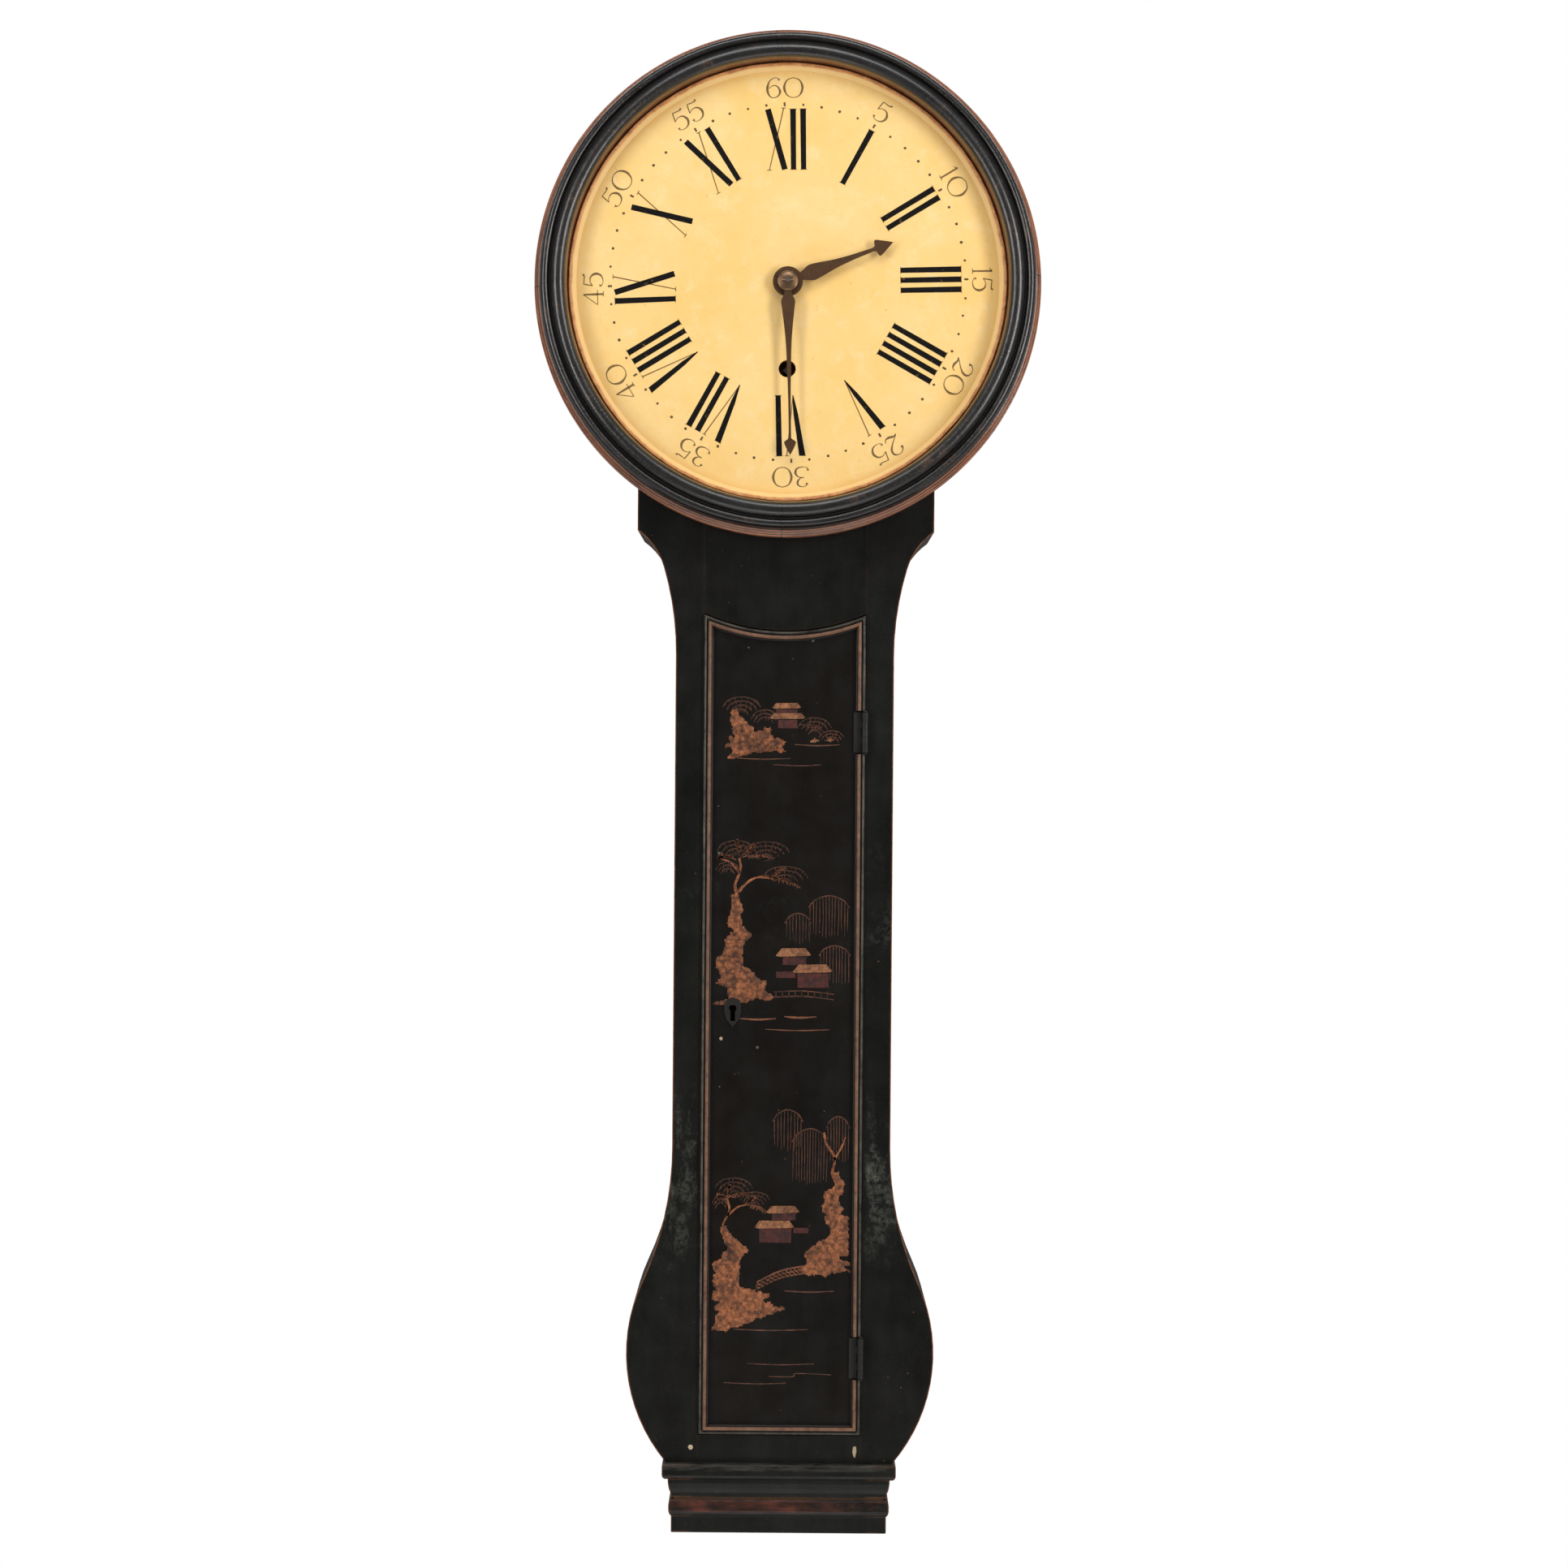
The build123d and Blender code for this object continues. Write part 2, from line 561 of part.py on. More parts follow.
def knuckle(hz, k, r, bore):
    """The k-th knuckle of a hinge, counted from below."""
    a = hz - HINGE_LEN / 2 + k * KN_LEN + 0.15
    b = a + KN_LEN - 0.3
    with BuildSketch(level(a)) as sk:
        with Locations((HINGE_X, -HINGE_D)):
            Circle(r)
            if bore:
                Circle(bore, mode=Mode.SUBTRACT)
    extrude(sk.sketch, amount=b - a)
    return a, b


with BuildPart() as door_hinge_leaves:
    for hz in HINGE_HEIGHTS:
        # leaf screwed to the face of the door, in the gap of the moulding
        block(64.6, 71.6, FRAME_FACE, FRAME_FACE + 1.8, hz - HINGE_LEN / 2, hz + HINGE_LEN / 2)
        for k in (1, 3):
            a, b = knuckle(hz, k, HINGE_R, 0)
            block(70.0, 74.0, FRAME_FACE, FRAME_FACE + 3.0, a - ZD * 0, b)
            drill_up(HINGE_X, HINGE_D, a - 0.5, b + 0.5, 1.56)
door_hinge_leaves.part.label = "door_hinge_leaves"

with BuildPart() as case_hinge_leaves:
    for hz in HINGE_HEIGHTS:
        # leaf let into the edge of the stile
        block(STILE_IN + 0.1, STILE_IN + 1.4, 140.2, FRAME_FACE, hz - HINGE_LEN / 2, hz + HINGE_LEN / 2)
        for k in (0, 2, 4):
            a, b = knuckle(hz, k, HINGE_R, 0)
            block(STILE_IN + 0.1, STILE_IN + 1.4, FRAME_FACE - 0.5, HINGE_D, a, b)
        # the fixed pin, with a small ball at each end
        upright(HINGE_X, HINGE_D, [(hz - HINGE_LEN / 2 - 2.4, 0.9), (hz - HINGE_LEN / 2 - 1.6, 1.9),
                                   (hz - HINGE_LEN / 2 - 0.4, 2.1), (hz - HINGE_LEN / 2 + 0.3, 1.5),
                                   (hz + HINGE_LEN / 2 - 0.3, 1.5), (hz + HINGE_LEN / 2 + 0.4, 2.1),
                                   (hz + HINGE_LEN / 2 + 1.6, 1.9), (hz + HINGE_LEN / 2 + 2.4, 0.9)])
case_hinge_leaves.part.label = "case_hinge_leaves"

with BuildPart() as keyhole_escutcheon:
    with BuildSketch(front(FRAME_FACE)):
        with BuildLine():
            # round head, waisted flanks and a pointed foot
            ThreePointArc(p(KEY_X - 7.6, KEY_H + 3.0), p(KEY_X, KEY_H + 10.0), p(KEY_X + 7.6, KEY_H + 3.0))
            Polyline(p(KEY_X + 7.6, KEY_H + 3.0), p(KEY_X + 8.0, KEY_H - 3.0), p(KEY_X + 6.2, KEY_H - 10.0),
                     p(KEY_X, KEY_H - 17.5), p(KEY_X - 6.2, KEY_H - 10.0), p(KEY_X - 8.0, KEY_H - 3.0),
                     p(KEY_X - 7.6, KEY_H + 3.0))
        make_face()
    extrude(amount=1.4)
    keyhole(FRAME_FACE - 1, FRAME_FACE + 3)
keyhole_escutcheon.part.label = "keyhole_escutcheon"

with BuildPart() as lock_case:
    block(-70.0, -34.0, 126.0, FRAME_BACK, -706.0, -651.0)
    block(-68.6, -35.4, 127.4, FRAME_BACK - 1.4, -704.6, -652.4, mode=Mode.SUBTRACT)
    block(-72.0, -66.0, 129.0, 135.6, -671.4, -660.6, mode=Mode.SUBTRACT)
    keyhole(FRAME_BACK - 3, FRAME_BACK + 1)
lock_case.part.label = "lock_case"

with BuildPart() as lock_bolt:
    block(-70.3, -42.0, 129.3, 135.3, -671.0, -661.0)
lock_bolt.part.label = "lock_bolt"


def side_door(s):
    d0, d1, h0, h1 = SIDE_DOOR
    x0, x1 = sorted((s * (SIDE_AXIS_X - 4.0), s * (SIDE_AXIS_X + 4.0)))
    block(x0, x1, SIDE_AXIS_D, d1 - 0.8, h0 + 0.8, h1 - 0.8)
    with BuildSketch(level(h0 + 0.8)) as sk:
        with Locations((s * SIDE_AXIS_X, -SIDE_AXIS_D)):
            Circle(4.0)
    extrude(sk.sketch, amount=h1 - h0 - 1.6)
    for a, b in ((h0 + 0.7, h0 + 8.8), (h1 - 8.8, h1 - 0.7)):
        drill_up(s * SIDE_AXIS_X, SIDE_AXIS_D, a, b, 1.5)
    # hole for the knob's spigot
    with BuildSketch(Plane(origin=(s * (SIDE_AXIS_X - 5), -112, ZD), x_dir=(0, 1, 0), z_dir=(s, 0, 0))) as sk:
        Circle(2.5)
    extrude(sk.sketch, amount=12, mode=Mode.SUBTRACT)


def side_fittings(s):
    d0, d1, h0, h1 = SIDE_DOOR
    # turned knob
    x = s * (SIDE_AXIS_X - 4.0)
    with BuildSketch(Plane(origin=(x, -112, ZD), x_dir=(0, 0, 1), z_dir=(0, s, 0))) as sk:
        with BuildLine():
            # local x is world Z, local y is world X times s
            Polyline((0, 0), (2.45, 0), (2.45, 8.0), (5.0, 8.0), (5.0, 9.0), (2.8, 10.4), (2.8, 11.6),
                     (5.2, 13.6), (5.6, 15.6), (4.4, 17.8), (0, 18.6), close=True)
        make_face()
    revolve(sk.sketch, axis=Axis((x, -112, ZD), (1, 0, 0)))
    # pivot pins top and bottom
    upright(s * SIDE_AXIS_X, SIDE_AXIS_D, [(h0 - 6.0, 1.5), (h0 + 8.6, 1.5)])
    upright(s * SIDE_AXIS_X, SIDE_AXIS_D, [(h1 - 8.6, 1.5), (h1 + 6.0, 1.5)])


with BuildPart() as side_door_left:
    side_door(-1)
side_door_left.part.label = "side_door_left"

with BuildPart() as side_door_right:
    side_door(1)
side_door_right.part.label = "side_door_right"

with BuildPart() as side_door_left_fittings:
    side_fittings(-1)
side_door_left_fittings.part.label = "side_door_left_fittings"

with BuildPart() as side_door_right_fittings:
    side_fittings(1)
side_door_right_fittings.part.label = "side_door_right_fittings"

# =====================================================================
# Movement
# =====================================================================
BP0, BP1, FP0, FP1 = 56.0, 59.0, 112.0, 115.0
PILLARS = ((-68.0, -146.0), (68.0, -146.0), (-27.0, 86.0), (27.0, 86.0))


def plate_sketch():
    with BuildLine() as ln:
        Polyline(p(-80, SEAT_TOP), p(80, SEAT_TOP), p(80, -132), p(38, 97), p(-38, 97), p(-80, -132), close=True)
    make_face(ln.edges())


with BuildPart() as back_plate:
    with BuildSketch(front(BP0)):
        plate_sketch()
        for (x, h), r in (((0, WIND_H), 3.05), ((0, 0), 1.55), (THIRD, 1.05), (ESCAPE, 1.05), ((0, PALLET_H), 6.5)):
            with Locations(p(x, h)):
                Circle(r, mode=Mode.SUBTRACT)
        for x, h in PILLARS:
            with Locations(p(x, h)):
                Circle(3.02, mode=Mode.SUBTRACT)
    extrude(amount=BP1 - BP0)
back_plate.part.label = "back_plate"

with BuildPart() as front_plate:
    with BuildSketch(front(FP0)):
        plate_sketch()
        for (x, h), r in (((0, WIND_H), 4.05), ((0, 0), 2.65), (THIRD, 1.05), (ESCAPE, 1.05), ((0, PALLET_H), 1.05)):
            with Locations(p(x, h)):
                Circle(r, mode=Mode.SUBTRACT)
        for x, h in PILLARS:
            with Locations(p(x, h)):
                Circle(3.02, mode=Mode.SUBTRACT)
    extrude(amount=FP1 - FP0)
    # riveted stud that carries the minute wheel
    turned(MINUTE_AT[0], MINUTE_AT[1], [(FP0 + 1, 1.0), (FP1, 1.0), (FP1, 3.0), (FP1 + 2.4, 3.0), (FP1 + 2.4, 1.0), (FP1 + 13.4, 1.0)])
front_plate.part.label = "front_plate"

with BuildPart() as movement_pillars:
    for x, h in PILLARS:
        turned(x, h, [(BP0 - 2.0, 3.0), (BP1, 3.0), (BP1, 6.0), (BP1 + 4, 6.0), (BP1 + 7, 4.6), (82, 4.6), (84, 6.0),
                      (87, 6.0), (89, 4.6), (FP0 - 7, 4.6), (FP0 - 4, 6.0), (FP0, 6.0), (FP0, 3.0), (FP1 + 2.0, 3.0)])
    for sx in (-68, 68):
        drill_up(sx, 85, -153, -146.5, 3.02)
movement_pillars.part.label = "movement_pillars"

with BuildPart() as seatboard_fittings:
    # two bolts that hold the movement down
    for sx in (-68, 68):
        upright(sx, 85, [(SEAT_BOTTOM - 7.0, 5.0), (SEAT_BOTTOM - 6.0, 6.5), (SEAT_BOTTOM - 0.05, 6.5),
                         (SEAT_BOTTOM - 0.05, 3.0), (-147.0, 3.0)])
    # turned peg that holds the knotted end of the gut
    upright(LINE_X, LINE_D, [(SEAT_TOP, 4.0), (SEAT_TOP + 2, 4.6), (SEAT_TOP + 4, 4.0), (SEAT_TOP + 5.5, 2.0)])
seatboard_fittings.part.label = "seatboard_fittings"

with BuildPart() as back_cock:
    # wall that carries the rear pivot of the pallet arbor
    block(-20, 20, 46, 49, 68, 96)
    # two feet down to the back plate
    block(-20, -12, 49, BP0, 80, 96)
    block(12, 20, 49, BP0, 80, 96)
    # bracket and split block from which the pendulum hangs
    block(-8, 8, 30, 46, 88, 94)
    block(-5, 5, 33, 43, 79, 88)
    block(-0.3, 0.3, 33.8, 42.2, 78, 86, mode=Mode.SUBTRACT)
    drill(0, PALLET_H, 45, 50, 1.05)
back_cock.part.label = "back_cock"

with BuildPart() as hour_bridge:
    block(-29, 29, 121.4, 123.2, -5, 5)
    block(-29, -22, FP1, 121.4, -5, 5)
    block(22, 29, FP1, 121.4, -5, 5)
    turned(0, 0, [(123.2, 4.6), (166.0, 4.6)])
    drill(0, 0, 121, 167, 3.6)
hour_bridge.part.label = "hour_bridge"

# centre arbor carries the minute hand and is driven by the great wheel
with BuildPart() as centre_arbor:
    turned(0, 0, [(BP0 + 0.2, 1.5), (BP1 + 0.2, 1.5), (BP1 + 0.2, 3.2), (61.8, 3.2), (61.8, 2.6), (118.0, 2.6), (118.0, 2.0), (187.0, 2.0)])
    wheel(0, 0, 102.0, 109.0, CENTRE_PIN_N, GREAT_M, PH_CENTRE_PIN, PINION_LEAF, 0)
    # cross hole for the collet pin
    with BuildSketch(Plane(origin=(-4, -185.45, ZD), x_dir=(0, 1, 0), z_dir=(1, 0, 0))):
        Circle(0.75)
    extrude(amount=8, mode=Mode.SUBTRACT)
centre_arbor.part.label = "centre_arbor"

with BuildPart() as centre_wheel:
    wheel(0, 0, 62.0, 65.0, CENTRE_N, CENTRE_M, PH_CENTRE, WHEEL_TOOTH, 2.62, arms=(7.0, 22.6, 4, 3.6), turn=0.4)
centre_wheel.part.label = "centre_wheel"

with BuildPart() as cannon_pinion:
    with BuildSketch(front(118.2)):
        with BuildLine():
            Polyline(*toothed(0, 0, CANNON_N, CANNON_M, PH_CANNON, (0.7, 1.0, 0.40, 0.16, 0.55)), close=True)
        make_face()
    extrude(amount=2.4)
    turned(0, 0, [(118.2, 3.4), (MIN_D + HAND_T + 0.02, 3.4)])
    drill(0, 0, 118, 183, 2.02)
cannon_pinion.part.label = "cannon_pinion"

with BuildPart() as minute_wheel:
    with BuildSketch(front(118.2)):
        with BuildLine():
            Polyline(*toothed(*MINUTE_AT, MINUTE_N, CANNON_M, PH_MINUTE, (0.7, 1.0, 0.40, 0.16, 0.55)), close=True)
        make_face()
    extrude(amount=2.4)
    wheel(*MINUTE_AT, 120.6, 127.4, MIN_PIN_N, HOUR_M, PH_MIN_PIN, PINION_LEAF, 0)
    drill(*MINUTE_AT, 118, 128, 1.06)
minute_wheel.part.label = "minute_wheel"

with BuildPart() as hour_wheel:
    wheel(0, 0, 124.0, 126.6, HOUR_N, HOUR_M, PH_HOUR, WHEEL_TOOTH, 0, arms=(10.0, 24.6, 4, 3.6), turn=0.2)
    turned(0, 0, [(124.0, 8.0), (128.5, 8.0), (128.5, 6.0), (HOUR_D + HAND_T, 6.0)])
    drill(0, 0, 123, 179, 4.68)
hour_wheel.part.label = "hour_wheel"

# great wheel turns freely on the winding arbor and is driven through its click
with BuildPart() as great_wheel:
    wheel(0, WIND_H, 103.5, 107.0, GREAT_N, GREAT_M, PH_GREAT, WHEEL_TOOTH, 4.06, arms=(38.0, 66.0, 4, 8.0), turn=0.3)
great_wheel.part.label = "great_wheel"

with BuildPart() as click:
    with BuildSketch(front(100.7)):
        with BuildLine():
            Polyline(p(-16.8, WIND_H + 4.0), p(-19.5, WIND_H + 1.5), p(-23.0, WIND_H + 8.0), p(-27.0, WIND_H + 20.0),
                     p(-22.0, WIND_H + 24.0), p(-18.0, WIND_H + 20.0), p(-18.6, WIND_H + 10.0), close=True)
        make_face()
    extrude(amount=2.2)
    turned(-22.5, WIND_H + 19.5, [(100.4, 2.6), (103.45, 2.6)])
click.part.label = "click"

with BuildPart() as winding_arbor:
    turned(0, WIND_H, [(BP0 + 0.2, 3.0), (BP1 + 0.2, 3.0), (BP1 + 0.2, 5.5), (75.8, 5.5), (75.8, 4.0), (FP1 + 3, 4.0), (FP1 + 4, 3.9), (118.9, 3.9)])
    # winding square
    with BuildSketch(front(118.0)):
        with Locations(Location((0, ZD + WIND_H, 0), (0, 0, 45))):
            Rectangle(5.5, 5.5)
    extrude(amount=38.0)
winding_arbor.part.label = "winding_arbor"

with BuildPart() as barrel:
    turned(0, WIND_H, [(76.0, 19.0), (78.0, 19.0), (78.0, 13.2), (98.0, 13.2), (98.0, 19.0), (100.0, 19.0), (100.0, 10.0), (103.0, 10.0)])
    # ratchet teeth
    with BuildSketch(front(100.6)):
        with BuildLine():
            pts = []
            for k in range(24):
                a = k * TAU / 24
                pts += [(13.4, a), (16.0, a + 0.02)]
            Polyline(*[(r * math.cos(a), ZD + WIND_H + r * math.sin(a)) for r, a in pts], close=True)
        make_face()
    extrude(amount=2.4)
    drill(0, WIND_H, 75, 104, 4.02)
barrel.part.label = "barrel"

with BuildPart() as third_wheel:
    wheel(*THIRD, 92.0, 94.5, THIRD_N, THIRD_M, PH_THIRD, WHEEL_TOOTH, 0, arms=(6.0, 21.4, 4, 3.2), turn=0.7)
    wheel(*THIRD, 60.4, 66.6, THIRD_PIN_N, CENTRE_M, PH_THIRD_PIN, PINION_LEAF, 0)
    turned(*THIRD, [(BP0 + 0.2, 1.0), (BP1 + 0.2, 1.0), (BP1 + 0.2, 2.0), (FP0 - 0.2, 2.0), (FP0 - 0.2, 1.0), (FP1 - 0.2, 1.0)])
third_wheel.part.label = "third_wheel"

with BuildPart() as escape_wheel:
    with BuildSketch(front(78.0)):
        with BuildLine():
            pts = []
            for k in range(30):
                a = k * TAU / 30 + 0.05
                pts += [(17.6, a - 0.010), (22.0, a - 0.030), (22.0, a - 0.018), (19.0, a + 0.050), (17.6, a + 0.110)]
            Polyline(*[(ESCAPE[0] + r * math.cos(a), ZD + ESCAPE[1] + r * math.sin(a)) for r, a in pts], close=True)
        make_face()
        cross_out(*ESCAPE, 5.0, 15.2, 4, 2.6, 0.5)
    extrude(amount=2.0)
    wheel(*ESCAPE, 89.6, 97.0, ESC_PIN_N, THIRD_M, PH_ESC_PIN, PINION_LEAF, 0)
    turned(*ESCAPE, [(BP0 + 0.2, 1.0), (BP1 + 0.2, 1.0), (BP1 + 0.2, 1.8), (FP0 - 0.2, 1.8), (FP0 - 0.2, 1.0), (FP1 - 0.2, 1.0)])
escape_wheel.part.label = "escape_wheel"

# =====================================================================
# Pendulum
# =====================================================================
with BuildPart() as pallets_and_crutch:
    # recoil anchor, standing just clear of the escape wheel's tips
    with BuildSketch(front(76.0)):
        with BuildLine():
            ai, ao = bow(ESCAPE, 23.6, 38, 142)
            bi, bo = bow(ESCAPE, 29.0, 46, 134)
            Line(ai, bi)
            Line(ao, bo)
        make_face()
        with Locations(p(0, PALLET_H)):
            Circle(5.0)
    extrude(amount=6.0)
    turned(0, PALLET_H, [(46.2, 1.0), (49.3, 1.0), (49.3, 1.8), (FP0 - 0.2, 1.8), (FP0 - 0.2, 1.0), (FP1 - 0.2, 1.0)])
    # crutch riveted on the same arbor
    turned(0, PALLET_H, [(51.0, 4.6), (54.0, 4.6)])
    block(-1.5, 1.5, 51.0, 54.0, -24.0, PALLET_H)
    block(-6.0, 6.0, 51.0, 54.0, -27.0, -20.0)
    # fork that embraces the pendulum rod
    block(-6.0, -3.4, 33.0, 52.0, -27.0, -20.0)
    block(3.4, 6.0, 33.0, 52.0, -27.0, -20.0)
pallets_and_crutch.part.label = "pallets_and_crutch"

with BuildPart() as suspension_spring:
    block(-0.15, 0.15, PENDULUM_D - 4, PENDULUM_D + 4, 61.0, 78.6)
suspension_spring.part.label = "suspension_spring"

with BuildPart() as pendulum_rod:
    block(-4.0, 4.0, PENDULUM_D - 4.5, PENDULUM_D + 4.5, 49.0, 61.0)
    upright(0, PENDULUM_D, [(-1018.0, 2.1), (-1017.0, 2.5), (50.0, 2.5)])
pendulum_rod.part.label = "pendulum_rod"

with BuildPart() as pendulum_bob:
    # brass-cased lenticular bob with a short boss below
    turned(0, BOB_H, [(PENDULUM_D - BOB_T / 2, 0.01), (PENDULUM_D - 14.4, 20.0), (PENDULUM_D - 12.6, 38.0), (PENDULUM_D - 9.0, 52.0),
                      (PENDULUM_D - 4.0, 60.5), (PENDULUM_D - 1.2, BOB_R), (PENDULUM_D + 1.2, BOB_R), (PENDULUM_D + 4.0, 60.5),
                      (PENDULUM_D + 9.0, 52.0), (PENDULUM_D + 12.6, 38.0), (PENDULUM_D + 14.4, 20.0), (PENDULUM_D + BOB_T / 2, 0.01)])
    upright(0, PENDULUM_D, [(BOB_H - BOB_R - 3.0, 5.5), (BOB_H - BOB_R + 4.0, 5.5)])
    drill_up(0, PENDULUM_D, BOB_H - BOB_R - 5, BOB_H + BOB_R + 5, 2.58)
pendulum_bob.part.label = "pendulum_bob"

with BuildPart() as rating_nut:
    upright(0, PENDULUM_D, [(BOB_H - BOB_R - 13.3, 4.0), (BOB_H - BOB_R - 10.8, 4.0), (BOB_H - BOB_R - 10.8, 8.5),
                            (BOB_H - BOB_R - 10.0, 9.0), (BOB_H - BOB_R - 5.0, 9.0), (BOB_H - BOB_R - 4.2, 8.5), (BOB_H - BOB_R - 4.2, 4.0),
                            (BOB_H - BOB_R - 3.3, 4.0)])
    drill_up(0, PENDULUM_D, BOB_H - BOB_R - 14, BOB_H - BOB_R - 3, 2.56)
rating_nut.part.label = "rating_nut"

# =====================================================================
# Weight, pulley and line
# =====================================================================
with BuildPart() as weight:
    upright(0, LINE_D, [(WEIGHT_BOTTOM, 27.5), (WEIGHT_BOTTOM + 1.5, WEIGHT_R), (WEIGHT_TOP - 6, WEIGHT_R), (WEIGHT_TOP - 2, 26.0),
                        (WEIGHT_TOP, 20.0)])
    drill_up(0, LINE_D, WEIGHT_TOP - 14, WEIGHT_TOP + 1, 2.52)
weight.part.label = "weight"

with BuildPart() as pulley_block:
    for d0 in (81.6, 92.4):
        block(-8, 8, d0, d0 + 2.0, PULLEY_H - 26, PULLEY_H + 9)
    block(-8, 8, 83.6, 92.4, PULLEY_H - 26, PULLEY_H - 22)
    # riveted axle of the pulley
    turned(0, PULLEY_H, [(80.4, 3.6), (81.6, 3.6), (81.6, 2.5), (94.4, 2.5), (94.4, 3.6), (95.6, 3.6)])
    # shank that screws into the weight
    upright(0, LINE_D, [(WEIGHT_TOP - 13, 2.5), (PULLEY_H - 24, 2.5), (PULLEY_H - 24, 4.4), (PULLEY_H - 20.0, 4.4), (PULLEY_H - 19.2, 3.0)])
pulley_block.part.label = "pulley_block"

with BuildPart() as pulley:
    turned(0, PULLEY_H, [(LINE_D - 3.4, 17.0), (LINE_D - 2.6, 17.0), (LINE_D - 0.95, 13.2), (LINE_D + 0.95, 13.2), (LINE_D + 2.6, 17.0), (LINE_D + 3.4, 17.0)])
    drill(0, PULLEY_H, LINE_D - 5, LINE_D + 5, 2.57)
pulley.part.label = "pulley"

with BuildPart() as gut_loop:
    # the half turn of gut under the pulley
    with BuildSketch(Plane(origin=(0, 0, ZD + PULLEY_H), x_dir=(1, 0, 0), z_dir=(0, 0, 1))):
        with Locations((LINE_X, -LINE_D)):
            Circle(LINE_R)
    revolve(axis=Axis((0, 0, ZD + PULLEY_H), (0, 1, 0)), revolution_arc=180)
gut_loop.part.label = "gut_loop"

with BuildPart() as gut_line_running:
    upright(-LINE_X, LINE_D, [(PULLEY_H, LINE_R), (WIND_H, LINE_R)])
gut_line_running.part.label = "gut_line_running"

with BuildPart() as gut_line_fixed:
    upright(LINE_X, LINE_D, [(PULLEY_H, LINE_R), (SEAT_TOP, LINE_R)])
gut_line_fixed.part.label = "gut_line_fixed"

PIECES = [
    backboard, hanging_plate, hanging_plate_screws, trunk_side_left, trunk_side_right, front_stile_left,
    front_stile_right, front_rails, head_side_left, head_side_right, head_top_board, base_block, base_mouldings,
    seatboard, dial_board, dial_battens, dial_moulding, dial_bead, hour_hand, minute_hand,
    hand_collet, door_panel, door_moulding, door_hinge_leaves, case_hinge_leaves, keyhole_escutcheon, lock_case,
    lock_bolt, side_door_left, side_door_right, side_door_left_fittings, side_door_right_fittings, back_plate,
    front_plate, movement_pillars, seatboard_fittings, back_cock, hour_bridge, centre_arbor, centre_wheel,
    cannon_pinion, minute_wheel, hour_wheel, great_wheel, click, winding_arbor, barrel, third_wheel, escape_wheel,
    pallets_and_crutch, suspension_spring, pendulum_rod, pendulum_bob, rating_nut, weight, pulley_block,
    pulley, gut_loop, gut_line_running, gut_line_fixed,
]
for piece in PIECES:
    export_step(piece.part, f"parts/{piece.part.label}.step")
print(len(PIECES), "pieces")
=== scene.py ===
import math
import random

import bmesh
import bpy
from mathutils import Matrix, Vector, noise

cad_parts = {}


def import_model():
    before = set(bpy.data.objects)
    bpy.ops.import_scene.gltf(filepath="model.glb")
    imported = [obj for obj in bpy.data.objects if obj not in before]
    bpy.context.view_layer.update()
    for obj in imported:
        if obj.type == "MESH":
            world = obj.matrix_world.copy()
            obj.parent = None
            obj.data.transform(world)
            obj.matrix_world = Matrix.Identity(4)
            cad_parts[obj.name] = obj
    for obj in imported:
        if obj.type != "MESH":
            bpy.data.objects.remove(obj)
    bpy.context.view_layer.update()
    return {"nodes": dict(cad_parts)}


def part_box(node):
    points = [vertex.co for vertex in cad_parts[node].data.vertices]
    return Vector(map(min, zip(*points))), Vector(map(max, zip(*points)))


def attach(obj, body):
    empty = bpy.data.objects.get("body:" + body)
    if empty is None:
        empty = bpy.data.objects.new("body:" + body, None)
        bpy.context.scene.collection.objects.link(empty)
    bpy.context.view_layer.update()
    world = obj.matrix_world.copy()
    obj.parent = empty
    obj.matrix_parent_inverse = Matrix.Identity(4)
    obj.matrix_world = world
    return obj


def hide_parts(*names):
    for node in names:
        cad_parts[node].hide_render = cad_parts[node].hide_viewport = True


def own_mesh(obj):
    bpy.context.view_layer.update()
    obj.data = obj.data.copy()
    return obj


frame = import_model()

N = frame["nodes"]
ZD = -0.190  # height of the dial's centre
MM = 0.001
scene = bpy.context.scene


# ------------------------------------------------------------------ node helpers
def srgb(r, g, b):
    f = lambda c: c / 12.92 if c <= 0.04045 else ((c + 0.055) / 1.055) ** 2.4
    return (f(r / 255), f(g / 255), f(b / 255), 1.0)


